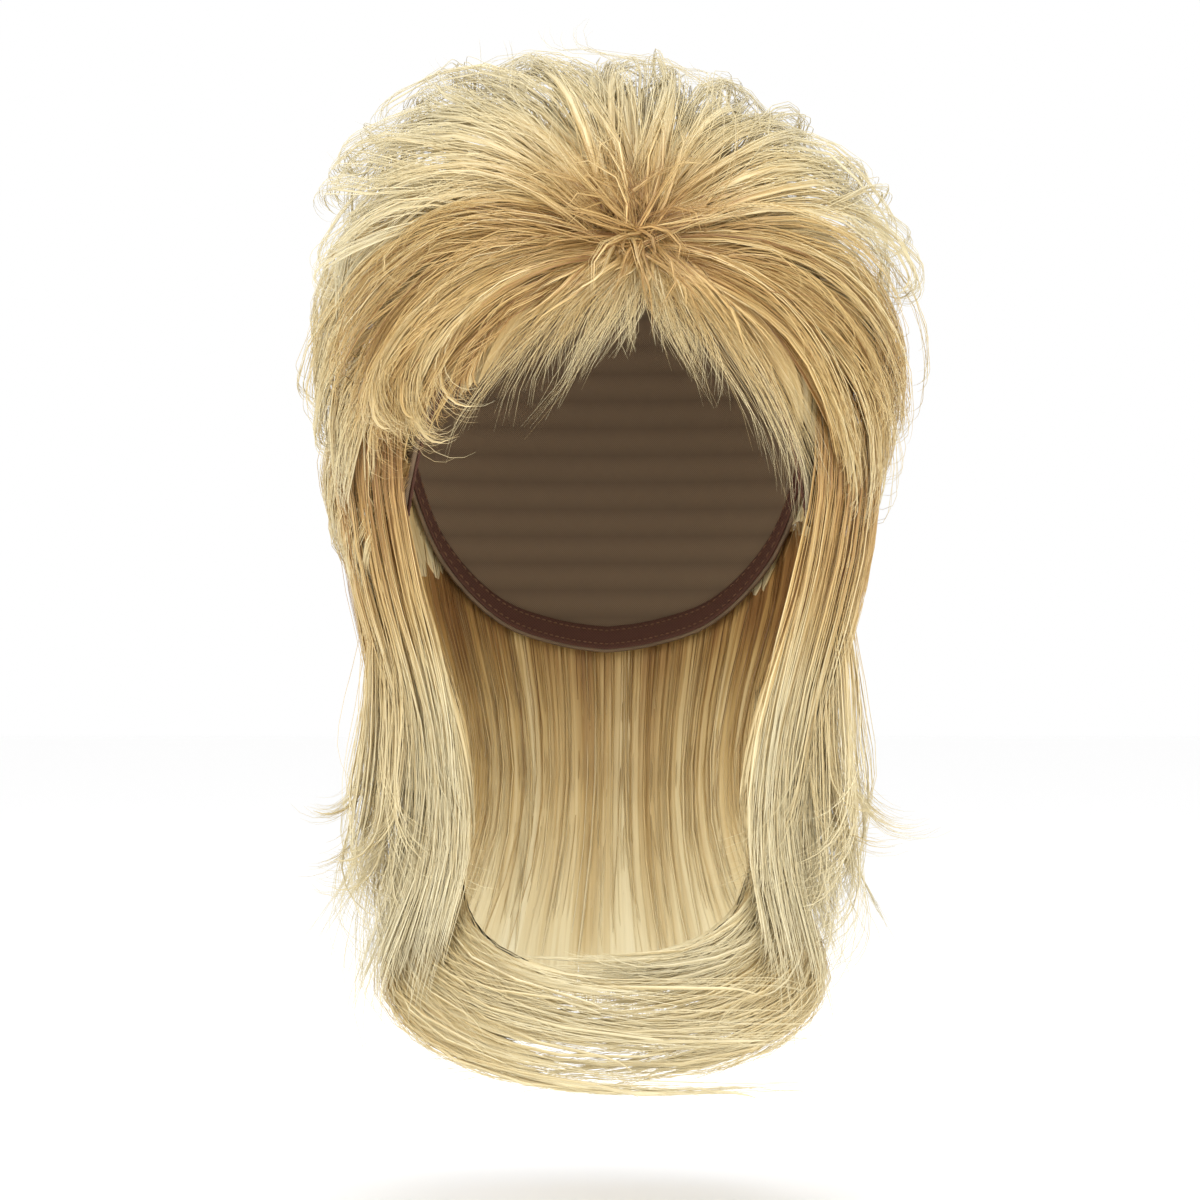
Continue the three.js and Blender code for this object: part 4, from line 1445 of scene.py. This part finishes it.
    def layers(self) -> None:
        """The second and third layers round the head, and the short layer over the nape."""
        middle = Strands(
            36, 12, curl=(5.0, 75.0), radius=(9.0, 20.0), lean=(120.0, 240.0), ends=(0.74, 1.24),
            depths=(0.72, 1.0), wave=1.8, sway=0.05, body_rings=7, gather=0.4, core=1.6, spread=0.05,
            shade=(0.15, 1.0),
        )
        loops = replace(WISPS, locks=12, each=8, starts=(0.0, 0.3), loft=2.0, radius=(4.0, 8.0))
        outer = {"crown_left": ((0.2, 1.0), (0.4, 1.0)), "crown_right": ((0.0, 0.8), (0.0, 0.6))}
        for node, (part, loop_part) in outer.items():
            styles = [replace(middle, across=part, ends=(0.7, 1.1)), replace(loops, across=loop_part)]
            self.section(node, styles, [Filling(across=part, shade=(0.3, 1.0))])
        wide = [Filling(along=(0.0, 0.84), ribs=34, columns=100, shade=(0.35, 1.0))]
        self.section("crown_back", [replace(middle, locks=44), loops], wide)
        lining = Strands(
            16, 8, depths=(0.02, 0.06), starts=(0.0, 0.3), ends=(0.8, 1.0), rise=6.0, core=0.0, curl_rings=0,
            spread=0.08, shade=(0.1, 0.6), thickness=0.02, wave=0.3, scatter=1.0, frizz=0.1,
        )
        for node in ("side_left", "side_right"):
            self.section(node, [replace(middle, locks=28), lining], [Filling(shade=(0.3, 1.0))])
        self.section("back_upper", [replace(middle, locks=38)], wide)
        self.section("nape_layer", [replace(middle, locks=38), lining], wide)

    def tails(self) -> None:
        """The lengths behind the ears: a swing, a bulge and flicks outside, a lining within."""
        swing = replace(
            LONG, locks=15, each=13, ends=(0.64, 0.84), curl=(50.0, 90.0), radius=(42.0, 66.0), curl_rings=6,
        )
        veil = replace(
            LONG, locks=22, each=10, starts=(0.0, 0.12), ends=(0.8, 1.0), depths=(0.0, 1.1),
            curl=(10.0, 60.0), radius=(10.0, 20.0), body_rings=9,
        )
        bulge = replace(
            swing, locks=12, each=12, starts=(0.1, 0.4), ends=(0.66, 0.86), depths=(1.0, 2.3), rise=1.0,
            curl=(60.0, 120.0), radius=(24.0, 40.0),
        )
        flick = replace(
            bulge, locks=6, each=17, depths=(1.0, 1.7), curl=(70.0, 115.0), radius=(18.0, 27.0),
            lean=(-25.0, 25.0), core=2.2, gather=0.75, feather=0.015,
        )
        inward = {
            "left": (-1.0, (0.0, 0.6), (0.4, 1.0), (0.67, 0.79)),
            "right": (1.0, (0.4, 1.0), (0.0, 0.6), (0.6, 0.7)),
        }
        for side, (sign, inner_part, outer_part, flick_ends) in inward.items():
            tail = [
                replace(LONG, lean=(75.0 * sign, 115.0 * sign), across=inner_part),
                replace(swing, lean=(105.0 * sign, 150.0 * sign), across=outer_part),
                replace(bulge, lean=(120.0 * sign, 180.0 * sign), across=outer_part),
                replace(flick, across=outer_part, ends=flick_ends),
                LINED,
            ]
            flows = [Growth(sheet_of(f"veil_{side}"), replace(veil, lean=(75.0 * sign, 115.0 * sign)))]
            self.section(f"tail_{side}", tail, [Filling(ribs=18, along=(0.0, 0.8), shade=(0.15, 0.9))], flows)

    def chest(self) -> None:
        """The ends that come round onto the chest, the right one with a fan of locks over it."""
        band = Strands(
            34, 13, across=(0.0, 0.94), starts=(0.0, 0.4), ends=(0.58, 1.16), rise=1.5, body_rings=9,
            curl=(5.0, 40.0), spread=0.3, depths=(0.0, 1.15), lean=(-100.0, 100.0), radius=(20.0, 40.0),
            shade=(0.2, 0.85), wave=2.5, core=1.5, feather=0.08, scatter=3.0, gather=0.3, curl_rings=3,
            sway=0.14, half_width=0.17,
        )
        fan = replace(
            band, locks=8, each=14, across=(0.62, 1.0), ends=(0.7, 0.94), depths=(1.0, 1.8),
            shade=(0.3, 1.1), lean=(60.0, 110.0), curl=(15.0, 50.0), radius=(25.0, 50.0), sway=0.05,
            spread=0.12,
        )
        filling = [Filling(ribs=22, depth=0.6, along=(0.0, 1.02), ragged=0.2, shade=(0.5, 0.95))]
        styles = [band, replace(LINED, locks=10)]
        self.section("chest_left", styles, filling)
        self.section("chest_right", [*styles, fan], filling)

    def back(self) -> None:
        """The long hair down the back, with strands along its inside too."""
        back = replace(
            LONG, locks=52, each=10, lean=(100.0, 260.0), starts=(0.0, 0.1), ends=(0.84, 1.0),
            radius=(7.0, 14.0), core=0.9, spread=0.12, rise=5.0, gather=0.0, feather=0.045, shade=(0.1, 0.9),
        )
        inside = replace(
            back, locks=26, each=8, depths=(-0.06, 0.04), starts=(0.0, 0.06), ends=(0.93, 1.03), core=0.6,
            thickness=0.03,
        )
        filling = Filling(ribs=60, columns=160, along=(0.0, 0.96), ragged=0.08, shade=(0.15, 0.9))
        self.section("back_length", [back, inside], [filling])


def main() -> None:
    """Load the frame, dress it piece by piece and set up the studio."""
    logging.basicConfig(level=logging.INFO, format="%(name)s %(message)s")
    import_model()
    cap = Cap()
    cap.build()
    EdgeTape().build(cap)
    for piece in Haircut().cut():
        piece.build()
    Studio().build()
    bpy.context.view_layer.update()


if __name__ == "__main__":
    main()
